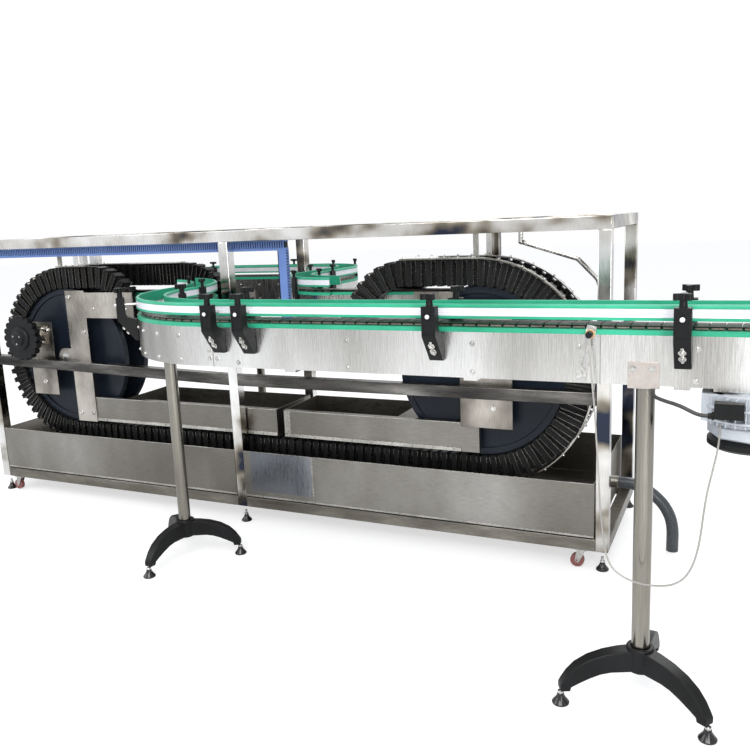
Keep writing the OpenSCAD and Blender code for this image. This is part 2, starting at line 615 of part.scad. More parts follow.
// Tubes swept along points, for the hose and the cables
function tangent(p, i) = let (a = p[max(i - 1, 0)], b = p[min(i + 1, len(p) - 1)]) (b - a) / norm(b - a);
function crossed(t) = let (n = cross(t, [0, 1, 0])) n / norm(n);
module tube_along(p, r, sides) {
    rings = [for (i = [0:len(p) - 1]) let (t = tangent(p, i), n = crossed(t), b = cross(t, n))
        each [for (k = [0:sides - 1]) p[i] + r * (n * cos(360 * k / sides) + b * sin(360 * k / sides))]];
    last = (len(p) - 1) * sides;
    polyhedron(points = rings, faces = concat(
        [[for (k = [0:sides - 1]) k]], [[for (k = [0:sides - 1]) last + sides - 1 - k]],
        [for (i = [0:len(p) - 2], k = [0:sides - 1]) let (a = i * sides + k, b = i * sides + (k + 1) % sides)
            [b, a, a + sides, b + sides]]), convexity = 8);
}
hose_points = [[-5, 300, 278], [15, 300, 278], [50, 300, 275], [84, 300, 265], [115, 300, 250], [143, 300, 229],
    [168, 300, 204], [187, 300, 176], [201, 300, 145], [209, 300, 112], [212, 300, 78], [212, 300, 40], [212, 300, 3]];
module drain_hose() color("#3a3d42") placed() tube_along(hose_points, hose_r, 12);
cable_r = 5;
cable_points = [[376.7, -938, 891], [366, -938, 891], [354, -937, 893], [342, -935, 897], [330, -932, 902], [318, -929, 907],
    [305, -925, 911], [292, -920, 914], [279, -914, 916], [267, -907, 918], [256, -899, 920], [248, -891, 922],
    [243, -882, 925], [240, -874, 930], [240, -871, 936.7]];
module motor_cable() color("#202224") placed() tube_along(cable_points, cable_r, 8);
sensor_r = 2.5;
sensor_points = [[78, -895, 1071], [78, -895, 1056], [80, -896, 1040], [84, -897, 1000], [89, -898, 950], [95, -899, 890], [100, -900, 820],
    [105, -900, 750], [109, -900, 680], [113, -900, 611], [118, -900, 560], [124, -900, 510], [133, -900, 465],
    [150, -900, 434], [178, -900, 414], [210, -900, 404], [245, -900, 401], [280, -900, 405], [308, -900, 415],
    [332, -900, 436], [350, -900, 470], [362, -900, 515], [369, -900, 565], [374, -900, 620], [381, -900, 680],
    [390, -900, 730], [399, -900, 780], [404, -900, 820], [405, -898, 848], [404.9, -896.7, 866]];
module sensor_cable() color("gray") placed() tube_along(sensor_points, sensor_r, 8);

// Columns under the lanes, each on a tripod: middle and turn of the legs
columns = [[215, front_lane_y, 26, 0], [-1715, -414, 85, 101.6], [-2300, out_lane_y, 0, 0]];
head_l = 80;
head_t = 8;
cheek_h = 64;
head_z = plate_z - head_t;
leg_end_h = 75;
hub_z = 95;
module column_tubes() color("silver") placed()
    for (c = columns) translate([c[0], c[1], hub_z + 20]) cylinder(d = column_d, h = head_z - hub_z - 20);
module column_heads() color("silver") placed() for (c = columns) translate([c[0], c[1], head_z]) rotate([0, 0, c[3]]) {
    translate([-head_l / 2, -half_w, 0]) cube([head_l, lane_w, head_t]);
    if (c[3] == 0) for (s = [-1, 1]) translate([-head_l / 2, s * (half_w + plate_t / 2 + seat) - plate_t / 2, 0])
        cube([head_l, plate_t, head_t + cheek_h]);
    if (c[3] == 0) for (s = [0, 1]) translate([-head_l / 2, s == 0 ? -half_w - seat : half_w, 0]) cube([head_l, seat, head_t]);
}
module tripod_base() {
    difference() {
        translate([0, 0, hub_z]) cylinder(r = column_d / 2 + 12, h = tripod_hub_h);
        translate([0, 0, hub_z + 20]) cylinder(r = column_d / 2 + fit, h = tripod_hub_h);
    }
    for (a = [60, 180, 300]) rotate([0, 0, a]) translate([column_d / 2 + 8, 20, 0]) rotate([90, 0, 0]) linear_extrude(height = 40)
        polygon([[0, hub_z + 5], [0, hub_z + tripod_hub_h - 8], [tripod_r * 0.4, hub_z + tripod_hub_h - 14],
            [tripod_r * 0.75, hub_z + 20], [tripod_r, leg_end_h - 10], [tripod_r, leg_end_h - 30],
            [tripod_r - 50, leg_end_h - 30], [tripod_r * 0.5, hub_z + 5]]);
}
module tripod_bases() color("#202224") placed()
    for (c = columns) translate([c[0], c[1], 0]) rotate([0, 0, c[2]]) tripod_base();
module tripod_feet() color("dimgray") placed()
    for (c = columns) translate([c[0], c[1], 0]) rotate([0, 0, c[2]])
        for (a = [60, 180, 300]) rotate([0, 0, a]) translate([tripod_r, 0, 0]) levelling_foot(leg_end_h - 30);

frame_posts();
long_rails();
cross_rails();
middle_rail_left();
machine_feet();
caster_plates();
caster_fork_1();
caster_fork_2();
caster_fork_3();
caster_fork_4();
caster_wheel_1();
caster_wheel_2();
caster_wheel_3();
caster_wheel_4();
wash_tank();
rinse_boxes();
support_plates();
cross_beams();
front_gripper_chain();
rear_gripper_chain();
gear_bearing();
top_cross_bars();
bearing_stands();
chain_drive();
transducer_boxes();
front_guide_track();
rear_guide_track();
wiring_duct();
rinse_pipe();
left_shaft();
left_wheels();
right_shaft();
right_wheels();
hand_gear();
infeed_side_plates();
infeed_wear_strips();
infeed_chain();
infeed_rails();
outfeed_side_plates();
outfeed_wear_strips();
outfeed_chain();
outfeed_rails();
drive_sprocket();
lane_motor();
motor_covers();
sensor_strip();
lane_sensor();
lane_stays();
transfer_plates();
transfer_wear_strips();
transfer_chains();
lane_cross_bars();
rail_clamps();
drain_hose();
motor_cable();
sensor_cable();
column_tubes();
column_heads();
tripod_bases();
tripod_feet();
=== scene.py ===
import math

import bmesh
import bpy
from mathutils import Matrix, Vector


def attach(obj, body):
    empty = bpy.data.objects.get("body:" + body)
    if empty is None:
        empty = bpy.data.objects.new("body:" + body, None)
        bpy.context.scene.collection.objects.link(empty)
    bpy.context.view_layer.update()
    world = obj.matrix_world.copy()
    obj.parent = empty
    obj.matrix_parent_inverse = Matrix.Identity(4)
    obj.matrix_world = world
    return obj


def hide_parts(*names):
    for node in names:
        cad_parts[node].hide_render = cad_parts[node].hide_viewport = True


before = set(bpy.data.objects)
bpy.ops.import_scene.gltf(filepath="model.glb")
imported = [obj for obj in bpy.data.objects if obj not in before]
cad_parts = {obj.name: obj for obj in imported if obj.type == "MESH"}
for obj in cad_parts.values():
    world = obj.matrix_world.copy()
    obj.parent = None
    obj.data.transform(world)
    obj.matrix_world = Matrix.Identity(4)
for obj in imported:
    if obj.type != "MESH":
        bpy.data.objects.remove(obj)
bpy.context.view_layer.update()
scene = bpy.context.scene

# Pieces are modelled in millimetres from the frame's front right corner, and shifted at the end
MIDDLE = Vector((-1335.0, 200.286, 0.0))
MACHINE = "machine"

# Sizes that several pieces share, in millimetres
BASE_RAIL_TOP = 160
TOP_RAIL_LOW = 1300
FRAME_W = 743
TUBE = 50
LANE_START = 640
LANE_Y = -810
LANE_HALF = 57
PLATE_LOW = 944
PLATE_HIGH = 1078
SEAM_X = -1155
BEND_R = 500
OUT_BEND_R = 300
TRANSFER_Y = 190
LOOP_Z = 765
LOOP_R = 410
TRACK_R = 470
DIP_R = 225
DIP_H = 300
LEFT_WHEEL_X = -2785
RIGHT_WHEEL_X = -540
CHAIN_PITCH = 44.45
BLOCK_L = 110
BLOCK_D = 75
SLAT_PITCH = 38.1
SLAT_HALF = 41.3
SLAT_Z = 1091
RAIL_Z = 1116
MOTOR_X = 475
GEAR_X = -2955
GEAR_Z = 878
GEAR_TEETH = 18
TRIPOD_R = 230
LEG_END = 45
HUB = (95, 170)

# The photograph's camera, as fitted to it
PHOTO_SIDE = 750
PHOTO_FOCAL = 800.8
CAMERA_AT = (456, -3024, 1407)


def to_row(x, y, z):
    return (Vector((x, y, z)) - MIDDLE) / 1000


# ---------------------------------------------------------------- camera

def place_camera():
    turn = 0.441
    dip = 0.193
    roll = -0.045
    ahead = Vector((-math.sin(turn) * math.cos(dip), math.cos(turn) * math.cos(dip), -math.sin(dip)))
    level = Vector((math.cos(turn), math.sin(turn), 0))
    raised = level.cross(ahead)
    right = math.cos(roll) * level + math.sin(roll) * raised
    up = -math.sin(roll) * level + math.cos(roll) * raised
    data = bpy.data.cameras.new("photo_camera")
    data.sensor_width = 36
    data.lens = PHOTO_FOCAL / PHOTO_SIDE * data.sensor_width
    data.clip_end = 60
    camera = bpy.data.objects.new("photo_camera", data)
    turned = Matrix((right, up, -ahead)).transposed()
    camera.matrix_world = Matrix.Translation(to_row(*CAMERA_AT)) @ turned.to_4x4()
    scene.collection.objects.link(camera)
    scene.camera = camera


place_camera()


# ---------------------------------------------------------------- materials

def new_material(name):
    material = bpy.data.materials.new(name)
    material.use_nodes = True
    tree = material.node_tree
    shader = tree.nodes["Principled BSDF"]
    return material, tree, shader


def pattern(tree, kind, scale, stretch=(1, 1, 1), detail=3.0):
    place = tree.nodes.new("ShaderNodeTexCoord")
    mapping = tree.nodes.new("ShaderNodeMapping")
    mapping.inputs["Scale"].default_value = stretch
    tree.links.new(place.outputs["Object"], mapping.inputs["Vector"])
    texture = tree.nodes.new(kind)
    texture.inputs["Scale"].default_value = scale
    if "Detail" in texture.inputs:
        texture.inputs["Detail"].default_value = detail
    tree.links.new(mapping.outputs["Vector"], texture.inputs["Vector"])
    return texture


def shades(tree, source, stops):
    ramp = tree.nodes.new("ShaderNodeValToRGB")
    ramp.color_ramp.elements[0].position = stops[0][0]
    ramp.color_ramp.elements[0].color = (*stops[0][1], 1)
    ramp.color_ramp.elements[1].position = stops[-1][0]
    ramp.color_ramp.elements[1].color = (*stops[-1][1], 1)
    for place, colour in stops[1:-1]:
        element = ramp.color_ramp.elements.new(place)
        element.color = (*colour, 1)
    tree.links.new(source, ramp.inputs["Fac"])
    return ramp.outputs["Color"]


def spread(tree, source, low, high, bottom=0.3, top=0.7):
    change = tree.nodes.new("ShaderNodeMapRange")
    change.inputs["From Min"].default_value = bottom
    change.inputs["From Max"].default_value = top
    change.inputs["To Min"].default_value = low
    change.inputs["To Max"].default_value = high
    tree.links.new(source, change.inputs["Value"])
    return change.outputs["Result"]


def bump(tree, shader, source, strength, depth):
    node = tree.nodes.new("ShaderNodeBump")
    node.inputs["Strength"].default_value = strength
    node.inputs["Distance"].default_value = depth
    tree.links.new(source, node.inputs["Height"])
    tree.links.new(node.outputs["Normal"], shader.inputs["Normal"])


def steel(name, stops, patch=3.0, stretch=(1, 1, 1), grain=(1, 1, 14), rough=(0.22, 0.42), detail=4.0,
          reflection_slope=None, wear=0.25):
    # Polished or brushed sheet: broad light and dark patches in the base colour, painted reflections, with
    # fine brushing over them
    material, tree, shader = new_material(name)
    shader.inputs["Metallic"].default_value = 1.0
    reflection_patches = pattern(tree, "ShaderNodeTexNoise", patch, stretch, detail).outputs["Fac"]
    # A painted reflection gradient: the patches lighten steadily along object x
    if reflection_slope:
        place = tree.nodes.new("ShaderNodeTexCoord")
        parts = tree.nodes.new("ShaderNodeSeparateXYZ")
        tree.links.new(place.outputs["Object"], parts.inputs["Vector"])
        slope = spread(tree, parts.outputs["X"], reflection_slope[2], reflection_slope[3], reflection_slope[0], reflection_slope[1])
        total = tree.nodes.new("ShaderNodeMath")
        total.operation = "ADD"
        tree.links.new(reflection_patches, total.inputs[0])
        tree.links.new(slope, total.inputs[1])
        reflection_patches = total.outputs["Value"]
    broad = shades(tree, reflection_patches, stops)
    brushed = pattern(tree, "ShaderNodeTexNoise", 55, grain, 3.0).outputs["Fac"]
    lines = shades(tree, brushed, [(0.35, (1 - wear, 1 - wear, 1 - wear)), (0.65, (1, 1, 1))])
    mix = tree.nodes.new("ShaderNodeMix")
    mix.data_type = "RGBA"
    mix.blend_type = "MULTIPLY"
    mix.inputs[0].default_value = 1.0
    tree.links.new(broad, mix.inputs[6])
    tree.links.new(lines, mix.inputs[7])
    tree.links.new(mix.outputs[2], shader.inputs["Base Color"])
    tree.links.new(spread(tree, brushed, *rough), shader.inputs["Roughness"])
    bump(tree, shader, brushed, 0.05, 0.0003)
    return material


def plastic(name, dark, light, rough=0.45, scale=30.0, relief=0.0004, gloss=0.5):
    material, tree, shader = new_material(name)
    shader.inputs["Specular IOR Level"].default_value = gloss
    cloud = pattern(tree, "ShaderNodeTexNoise", 5.0, (1, 1, 1), 4.0)
    tree.links.new(shades(tree, cloud.outputs["Fac"], [(0.3, dark), (0.7, light)]),
                   shader.inputs["Base Color"])
    fine = pattern(tree, "ShaderNodeTexNoise", scale * 10, (1, 1, 1), 2.0)
    tree.links.new(spread(tree, fine.outputs["Fac"], rough - 0.08, rough + 0.1), shader.inputs["Roughness"])
    bump(tree, shader, fine.outputs["Fac"], 0.15, relief)
    return material


# Painted reflections: the posts' patches run from near white to dark bluish grey, mirrored surroundings
# laid into the base colour
FRAME_STEEL = steel("frame_steel", [(0.39, (0.035, 0.042, 0.065)), (0.43, (0.17, 0.15, 0.125)),
                                    (0.47, (0.36, 0.33, 0.28)), (0.53, (0.68, 0.66, 0.63)),
                                    (0.66, (0.90, 0.90, 0.89))],
                    3.6, (1, 1, 1.3), (6, 6, 0.4), (0.10, 0.22), 2.5, wear=0.10)
# Darker copies of the frame steel for the middle rails and the base rails: painted shade
RAIL_STEEL = steel("rail_steel", [(0.34, (0.035, 0.034, 0.034)), (0.50, (0.105, 0.10, 0.094)),
                                  (0.60, (0.22, 0.21, 0.20)), (0.72, (0.45, 0.43, 0.41))],
                   4.5, (0.5, 1, 2.5), (0.4, 6, 6), (0.18, 0.34), 5.0)
BASE_STEEL = steel("base_rail_steel", [(0.32, (0.13, 0.12, 0.10)), (0.50, (0.21, 0.195, 0.17)), (0.70,
                                            (0.38, 0.36, 0.32))],
                   4.0, (0.5, 1, 2.0), (0.4, 6, 6), (0.25, 0.40), 5.0)
# The lane plates lighten along x, a painted reflection gradient over their painted reflection patches
PLATE_STEEL = steel("lane_plate_steel", [(0.40, (0.24, 0.23, 0.22)), (0.50, (0.42, 0.41, 0.39)), (0.60,
                                            (0.62, 0.61, 0.59)), (0.74, (0.86, 0.86, 0.85))],
                    2.4, (1, 1, 0.30), (8, 8, 0.3), (0.20, 0.34), 3.0, reflection_slope=(-0.6, 1.4, -0.03, 0.17),
                    wear=0.045)
TANK_STEEL = steel("tank_steel", [(0.30, (0.16, 0.15, 0.132)), (0.50, (0.235, 0.222, 0.20)), (0.64,
                                            (0.33, 0.318, 0.295)), (0.76, (0.46, 0.45, 0.43))],
                   1.7, (1, 1, 0.6), (0.5, 6, 6), (0.26, 0.40), 5.0, wear=0.16)
SEAM_STEEL = steel("tank_sheet_steel", [(0.30, (0.13, 0.14, 0.155)), (0.55, (0.22, 0.235, 0.26)), (0.72,
                                            (0.42, 0.43, 0.45))],
                   3.0, (1, 1, 0.25), (6, 6, 0.4), (0.24, 0.36), 3.0, wear=0.14)
BRIGHT_STEEL = steel("bright_steel", [(0.3, (0.50, 0.49, 0.47)), (0.7, (0.84, 0.83, 0.81))], 9.0, (1, 1, 1),
                     (2, 2, 2), (0.12, 0.26))
TRACK_STEEL = steel("track_steel", [(0.3, (0.16, 0.145, 0.125)), (0.5, (0.30, 0.28, 0.25)), (0.7,
                                            (0.55, 0.53, 0.50))], 7.0, (1, 1, 1), (3, 3, 3), (0.16, 0.30))
INNER_STEEL = steel("bearing_plate_steel",
                    [(0.34, (0.13, 0.12, 0.105)), (0.46, (0.30, 0.275, 0.245)), (0.58, (0.50, 0.465, 0.42)),
                     (0.72, (0.66, 0.63, 0.58))],
                    4.2, (1, 1, 0.7), (4, 4, 0.5), (0.24, 0.38), 3.0, wear=0.15)
HEAD_STEEL = steel("column_head_steel", [(0.3, (0.46, 0.415, 0.385)), (0.7, (0.58, 0.53, 0.50))], 9.0,
                   (1, 1, 1), (3, 3, 3), (0.34, 0.46), wear=0.1)
# Patches drawn out along the tube's length: painted upright reflection bands
TUBE_STEEL = steel("column_tube_steel", [(0.3, (0.20, 0.185, 0.16)), (0.5, (0.30, 0.285, 0.25)), (0.7,
                                            (0.42, 0.40, 0.36))],
                   6.0, (1, 1, 0.15), (6, 6, 0.15), (0.14, 0.26), 3.0, wear=0.2)
SLAT_STEEL = steel("slat_steel", [(0.3, (0.020, 0.018, 0.016)), (0.7, (0.055, 0.048, 0.042))], 9.0,
                   (1, 1, 1), (3, 3, 3), (0.28, 0.42))
EDGE_STEEL = steel("slat_edge_steel", [(0.3, (0.20, 0.175, 0.145)), (0.7, (0.36, 0.32, 0.275))], 9.0,
                   (1, 1, 1), (3, 3, 3), (0.28, 0.42))
# A lighter steel for the tank and box rims and joint strip: painted highlights
EDGE_HIGHLIGHT_STEEL = steel("edge_steel", [(0.3, (0.34, 0.33, 0.30)), (0.7, (0.62, 0.60, 0.56))], 8.0, (1, 1, 1),
                    (3, 3, 3), (0.2, 0.34))
RUBBER = plastic("gripper_rubber", (0.0045, 0.005, 0.0055), (0.012, 0.0125, 0.013), 0.42, 40, gloss=0.16)
BLACK = plastic("black_plastic", (0.004, 0.0042, 0.0046), (0.011, 0.0115, 0.0125), 0.38, 30, gloss=0.17)
PAD_BLACK = plastic("foot_pad_black", (0.004, 0.004, 0.0045), (0.010, 0.010, 0.011), 0.16, 10, gloss=0.5)
WHEEL_BLACK = plastic("wheel_black", (0.005, 0.008, 0.014), (0.010, 0.015, 0.025), 0.34, 20, gloss=0.25)
GREEN = plastic("green_plastic", (0.018, 0.27, 0.155), (0.035, 0.38, 0.23), 0.34, 20, gloss=0.35)
WHITE = plastic("rail_white", (0.60, 0.61, 0.66), (0.78, 0.79, 0.83), 0.30, 20)
DUCT_BLUE = plastic("duct_blue", (0.085, 0.15, 0.38), (0.14, 0.23, 0.50), 0.42, 20, gloss=0.35)
CASTER_RED = plastic("caster_red", (0.16, 0.05, 0.045), (0.24, 0.09, 0.08), 0.45, 20)
MOTOR_GREY = plastic("motor_grey", (0.36, 0.39, 0.43), (0.52, 0.55, 0.59), 0.40, 30)
BRASS = plastic("sensor_brass", (0.42, 0.26, 0.12), (0.55, 0.36, 0.18), 0.30, 20)
CABLE_GREY = plastic("cable_grey", (0.22, 0.21, 0.20), (0.34, 0.33, 0.31), 0.45, 10)
CABLE = plastic("cable_black", (0.015, 0.015, 0.016), (0.030, 0.030, 0.030), 0.4, 10)
HOSE = plastic("hose_rubber", (0.030, 0.034, 0.040), (0.060, 0.066, 0.075), 0.32, 10)


# ---------------------------------------------------------------- modelling helpers

def edges_of(geom):
    return [g for g in geom if isinstance(g, bmesh.types.BMEdge)]


def verts_of(geom):
    return [g for g in geom if isinstance(g, bmesh.types.BMVert)]


def block(bm, x0, x1, y0, y1, z0, z1, place=None):
    size = Matrix.Diagonal((x1 - x0, y1 - y0, z1 - z0, 1))
    middle = Matrix.Translation(((x0 + x1) / 2, (y0 + y1) / 2, (z0 + z1) / 2))
    made = bmesh.ops.create_cube(bm, size=1, matrix=(place or Matrix()) @ middle @ size)
    return made["verts"]


def rod(bm, start, end, radius, sides=16, tip=None):
    start = Vector(start)
    end = Vector(end)
    along = end - start
    turn = Vector((0, 0, 1)).rotation_difference(along.normalized()).to_matrix().to_4x4()
    place = Matrix.Translation((start + end) / 2) @ turn
    bmesh.ops.create_cone(bm, cap_ends=True, segments=sides, radius1=radius,
                          radius2=radius if tip is None else tip, depth=along.length, matrix=place)


def prism(bm, outline, depth, place=None):
    corners = [bm.verts.new((x, y, 0)) for x, y in outline]
    face = bm.faces.new(corners)
    made = bmesh.ops.extrude_face_region(bm, geom=[face])
    top = verts_of(made["geom"])
    bmesh.ops.translate(bm, verts=top, vec=(0, 0, depth))
    moved = corners + top
    if place:
        bmesh.ops.transform(bm, matrix=place, verts=moved)
    return moved


def turned(bm, profile, centre, axis, sides=32):
    # A profile of (radius, height) pairs turned once round its own axis
    before = set(bm.verts)
    points = [bm.verts.new((r, 0, h)) for r, h in profile]
    lines = [bm.edges.new((a, b)) for a, b in zip(points, points[1:])]
    bmesh.ops.spin(bm, geom=points + lines, cent=(0, 0, 0), axis=(0, 0, 1), dvec=(0, 0, 0),
                   angle=math.tau, steps=sides, use_merge=True, use_duplicate=False)
    bmesh.ops.remove_doubles(bm, verts=[v for v in bm.verts if v not in before], dist=0.001)
    verts = [v for v in bm.verts if v not in before]
    turn = Vector((0, 0, 1)).rotation_difference(Vector(axis)).to_matrix().to_4x4()
    bmesh.ops.transform(bm, matrix=Matrix.Translation(centre) @ turn, verts=verts)


def bolt(bm, centre, axis, radius, height, sides=6):
    centre = Vector(centre)
    axis = Vector(axis)
    rod(bm, centre, centre + axis * height * 0.3, radius * 1.45, 16)
    rod(bm, centre + axis * height * 0.25, centre + axis * height, radius, sides)


def finish(bm, name, material, body=MACHINE, bevel=0.0, segments=2, smooth=True, replaces=()):
    bmesh.ops.remove_doubles(bm, verts=bm.verts, dist=0.0005)
    bmesh.ops.recalc_face_normals(bm, faces=bm.faces)
    bmesh.ops.translate(bm, verts=bm.verts, vec=-MIDDLE)
    bmesh.ops.scale(bm, verts=bm.verts, vec=(0.001, 0.001, 0.001))
    mesh = bpy.data.meshes.new(name)
    bm.to_mesh(mesh)
    bm.free()
    piece = bpy.data.objects.new(name, mesh)
    scene.collection.objects.link(piece)
    mesh.materials.append(material)
    if bevel:
        edge = piece.modifiers.new("edges", "BEVEL")
        edge.width = bevel / 1000
        edge.segments = segments
        edge.limit_method = "ANGLE"
        edge.angle_limit = math.radians(40)
        edge.harden_normals = False
    if smooth:
        mesh.shade_smooth()
        mesh.set_sharp_from_angle(angle=math.radians(35))
    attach(piece, body)
    if replaces:
        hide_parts(*replaces)
    return piece


def softened(node, material, body=MACHINE, bevel=2.0, segments=2):
    # A CAD node's own shape with its edges rounded
    bm = bmesh.new()
    bm.from_mesh(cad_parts[node].data)
    bmesh.ops.scale(bm, verts=bm.verts, vec=(1000, 1000, 1000))
    bmesh.ops.translate(bm, verts=bm.verts, vec=MIDDLE)
    bmesh.ops.remove_doubles(bm, verts=bm.verts, dist=0.01)
    bmesh.ops.dissolve_limit(bm, angle_limit=math.radians(1), verts=bm.verts, edges=bm.edges)
    return finish(bm, node + "_finished", material, body, bevel, segments, replaces=(node,))


def dress(node, material):
    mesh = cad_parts[node].data
    mesh.materials.clear()
    mesh.materials.append(material)


# ---------------------------------------------------------------- frame

def paint(piece, materials, choose):
    # Further materials for the faces that choose(height) picks, in millimetres
    for material in materials:
        piece.data.materials.append(material)
    for face in piece.data.polygons:
        face.material_index = choose((Vector(face.center) * 1000 + MIDDLE).z)


def rail_shade_band(height):
    # The base rails and the middle rails get darker copies of the steel, painted shade; the top rails keep
    # the posts' own steel
    if height < BASE_RAIL_TOP:
        return 2
    return 1 if height < TOP_RAIL_LOW else 0


softened("frame_posts", FRAME_STEEL, bevel=3.0)
for node in ("long_rails", "cross_rails", "middle_rail_left"):
    paint(softened(node, FRAME_STEEL, bevel=3.0), (RAIL_STEEL, BASE_STEEL), rail_shade_band)
softened("wash_tank", TANK_STEEL, bevel=1.0)
dress("rinse_boxes", TANK_STEEL)
softened("support_plates", INNER_STEEL, bevel=0.8)
softened("cross_beams", INNER_STEEL, bevel=0.8)
dress("left_shaft", BRIGHT_STEEL)
dress("right_shaft", BRIGHT_STEEL)
for number in (1, 2, 3, 4):
    dress(f"caster_fork_{number}", BRIGHT_STEEL)
    dress(f"caster_wheel_{number}", CASTER_RED)
softened("left_wheels", WHEEL_BLACK, "left_wheel_set", 1.5)
softened("right_wheels", WHEEL_BLACK, "right_wheel_set", 1.5)
dress("front_guide_track", TRACK_STEEL)
for node in ("infeed_side_plates", "outfeed_side_plates", "transfer_plates"):
    dress(node, PLATE_STEEL)
for node in ("infeed_wear_strips", "outfeed_wear_strips", "transfer_wear_strips"):
    dress(node, GREEN)
dress("lane_cross_bars", PLATE_STEEL)
softened("column_tubes", TUBE_STEEL, bevel=0.5)
softened("column_heads", HEAD_STEEL, bevel=0.8)


# ---------------------------------------------------------------- feet, tripods and the hand gear

# Each tripod's x, y and turn in degrees
COLUMNS = [(215, -810, 26), (-1715, -414, 85), (-2300, 1140, 0)]


def foot(pads, studs, x, y, top):
    turned(pads, [(0, 0), (23, 0), (25, 2), (25, 6), (21, 11), (14, 20), (10.5, 27), (10, 33), (0, 33)],
           (x, y, 0), (0, 0, 1), 24)
    rod(studs, (x, y, 32.6), (x, y, top), 5.5, 16)
    rod(studs, (x, y, 33), (x, y, 40), 9.5, 6)


def feet():
    pads = bmesh.new()
    studs = bmesh.new()
    for x in (-50, -1728, -3310):
        for y in (0, FRAME_W):
            foot(pads, studs, x + TUBE / 2, y + TUBE / 2, 55)
    finish(pads, "machine_foot_pads", PAD_BLACK, bevel=0.8, segments=1,
           replaces=("machine_feet",))
    finish(studs, "machine_foot_studs", BRIGHT_STEEL, bevel=0.5, segments=1)
    pads = bmesh.new()
    studs = bmesh.new()
    for cx, cy, turn in COLUMNS:
        for leg in (60, 180, 300):
            angle = math.radians(turn + leg)
            foot(pads, studs, cx + TRIPOD_R * math.cos(angle), cy + TRIPOD_R * math.sin(angle), LEG_END - 4)
    finish(pads, "tripod_foot_pads", PAD_BLACK, bevel=0.8, segments=1,
           replaces=("tripod_feet",))
    finish(studs, "tripod_foot_studs", BRIGHT_STEEL, bevel=0.5, segments=1)


def tripods():
    bm = bmesh.new()
    low, high = HUB
    side = [(0, low + 4), (0, high - 6), (60, high - 8), (105, high - 14), (150, high - 27),
            (188, high - 48), (212, high - 72), (228, high - 96), (234, LEG_END + 18),
            (234, LEG_END), (206, LEG_END), (203, LEG_END + 12), (180, LEG_END + 24), (150, low - 12),
            (120, low - 1), (90, low + 4)]
    side = [(x, max(z, LEG_END)) for x, z in side]
    for cx, cy, turn in COLUMNS:
        for leg in (60, 180, 300):
            place = Matrix.Translation((cx, cy, 0)) @ Matrix.Rotation(math.radians(turn + leg), 4, "Z")
            made = prism(bm, side, 48, Matrix.Translation((0, 24, 0)) @ Matrix.Rotation(math.pi / 2, 4,
                                            "X"))
            for vert in made:
                vert.co.y *= 1 - 0.28 * vert.co.x / TRIPOD_R
            bmesh.ops.transform(bm, matrix=place, verts=made)
        turned(bm, [(26, low), (35, low), (38, low + 8), (37, high - 16), (39, high - 12), (39, high - 1),
                    (36, high), (26, high), (26, low)],
               (cx, cy, 0), (0, 0, 1), 40)
    finish(bm, "tripod_castings", BLACK, bevel=6.0, segments=3, replaces=("tripod_bases",))


feet()
tripods()


def hand_gear():
    bm = bmesh.new()
    outline = []
    steps = GEAR_TEETH * 8
    for i in range(steps):
        angle = math.tau * i / steps
        reach = 102 + 15 * abs(math.cos(GEAR_TEETH / 2 * angle)) ** 0.6
        outline.append((reach * math.cos(angle), reach * math.sin(angle)))
    place = Matrix.Translation((GEAR_X, -44, GEAR_Z)) @ Matrix.Rotation(math.pi / 2, 4, "X")
    prism(bm, outline, 33, place)
    turned(bm, [(0, 0), (62, 0), (62, 6), (56, 12), (40, 14), (38, 22), (30, 25), (0, 25)],
           (GEAR_X, -76, GEAR_Z), (0, -1, 0), 40)
    turned(bm, [(20, 0), (54, 0), (54, 24), (20, 24)], (GEAR_X, -44, GEAR_Z), (0, 1, 0), 40)
    finish(bm, "hand_gear_body", BLACK, body="hand_wheel", bevel=1.5, segments=2,
           replaces=("hand_gear",))
    bm = bmesh.new()
    rod(bm, (GEAR_X, -20, GEAR_Z), (GEAR_X, 75.5, GEAR_Z), 19.6, 32)
    for i in range(3):
        angle = math.tau * i / 3 + 0.5
        bolt(bm, (GEAR_X + 26 * math.cos(angle), -98, GEAR_Z + 26 * math.sin(angle)), (0, -1, 0), 5, 6)
    finish(bm, "hand_gear_shaft", BRIGHT_STEEL, body="hand_wheel", bevel=0.5, segments=1)


# ---------------------------------------------------------------- lanes and loops as walked paths

# A path is a starting (x, y, heading), then stretches of (length, bend)
# The bend is 1 / radius, positive to the left

def walk(pose, length, bend):
    x, y, heading = pose
    if bend == 0:
        return (x + length * math.cos(heading), y + length * math.sin(heading), heading)
    swing = length * bend
    return (x + (math.sin(heading + swing) - math.sin(heading)) / bend,
            y - (math.cos(heading + swing) - math.cos(heading)) / bend, heading + swing)


def pose_on(path, distance):
    pose = path[0]
    for length, bend in path[1:-1]:
        if distance <= length:
            return walk(pose, distance, bend)
        pose = walk(pose, length, bend)
        distance -= length
    return walk(pose, distance, path[-1][1])


def path_length(path):
    return sum(length for length, bend in path[1:])


def arc(radius, degrees):
    return math.pi * radius * degrees / 180


# Where the infeed's second bend ends and its first begins
BEND2_X = -1748 - math.sqrt((BEND_R + LANE_HALF) ** 2 - 310 ** 2)
BEND1_X = BEND2_X + 2 * BEND_R
INFEED = [(LANE_START, LANE_Y, math.pi), (LANE_START - BEND1_X, 0),
          (arc(BEND_R, 90), -1 / BEND_R), (arc(BEND_R, 90), 1 / BEND_R)]
INFEED_RAILS = INFEED[:3] + [(arc(BEND_R, 70), 1 / BEND_R)]
OUTFEED = [(-1240, TRANSFER_Y, math.pi), (arc(OUT_BEND_R, 90), -1 / OUT_BEND_R), (350, 0),
           (arc(OUT_BEND_R, 90), 1 / OUT_BEND_R), (810, 0)]

DIP_ANGLE = math.acos(1 - DIP_H / (2 * DIP_R))
DIP = DIP_R * DIP_ANGLE
DIP_X = 2 * DIP_R * math.sin(DIP_ANGLE)


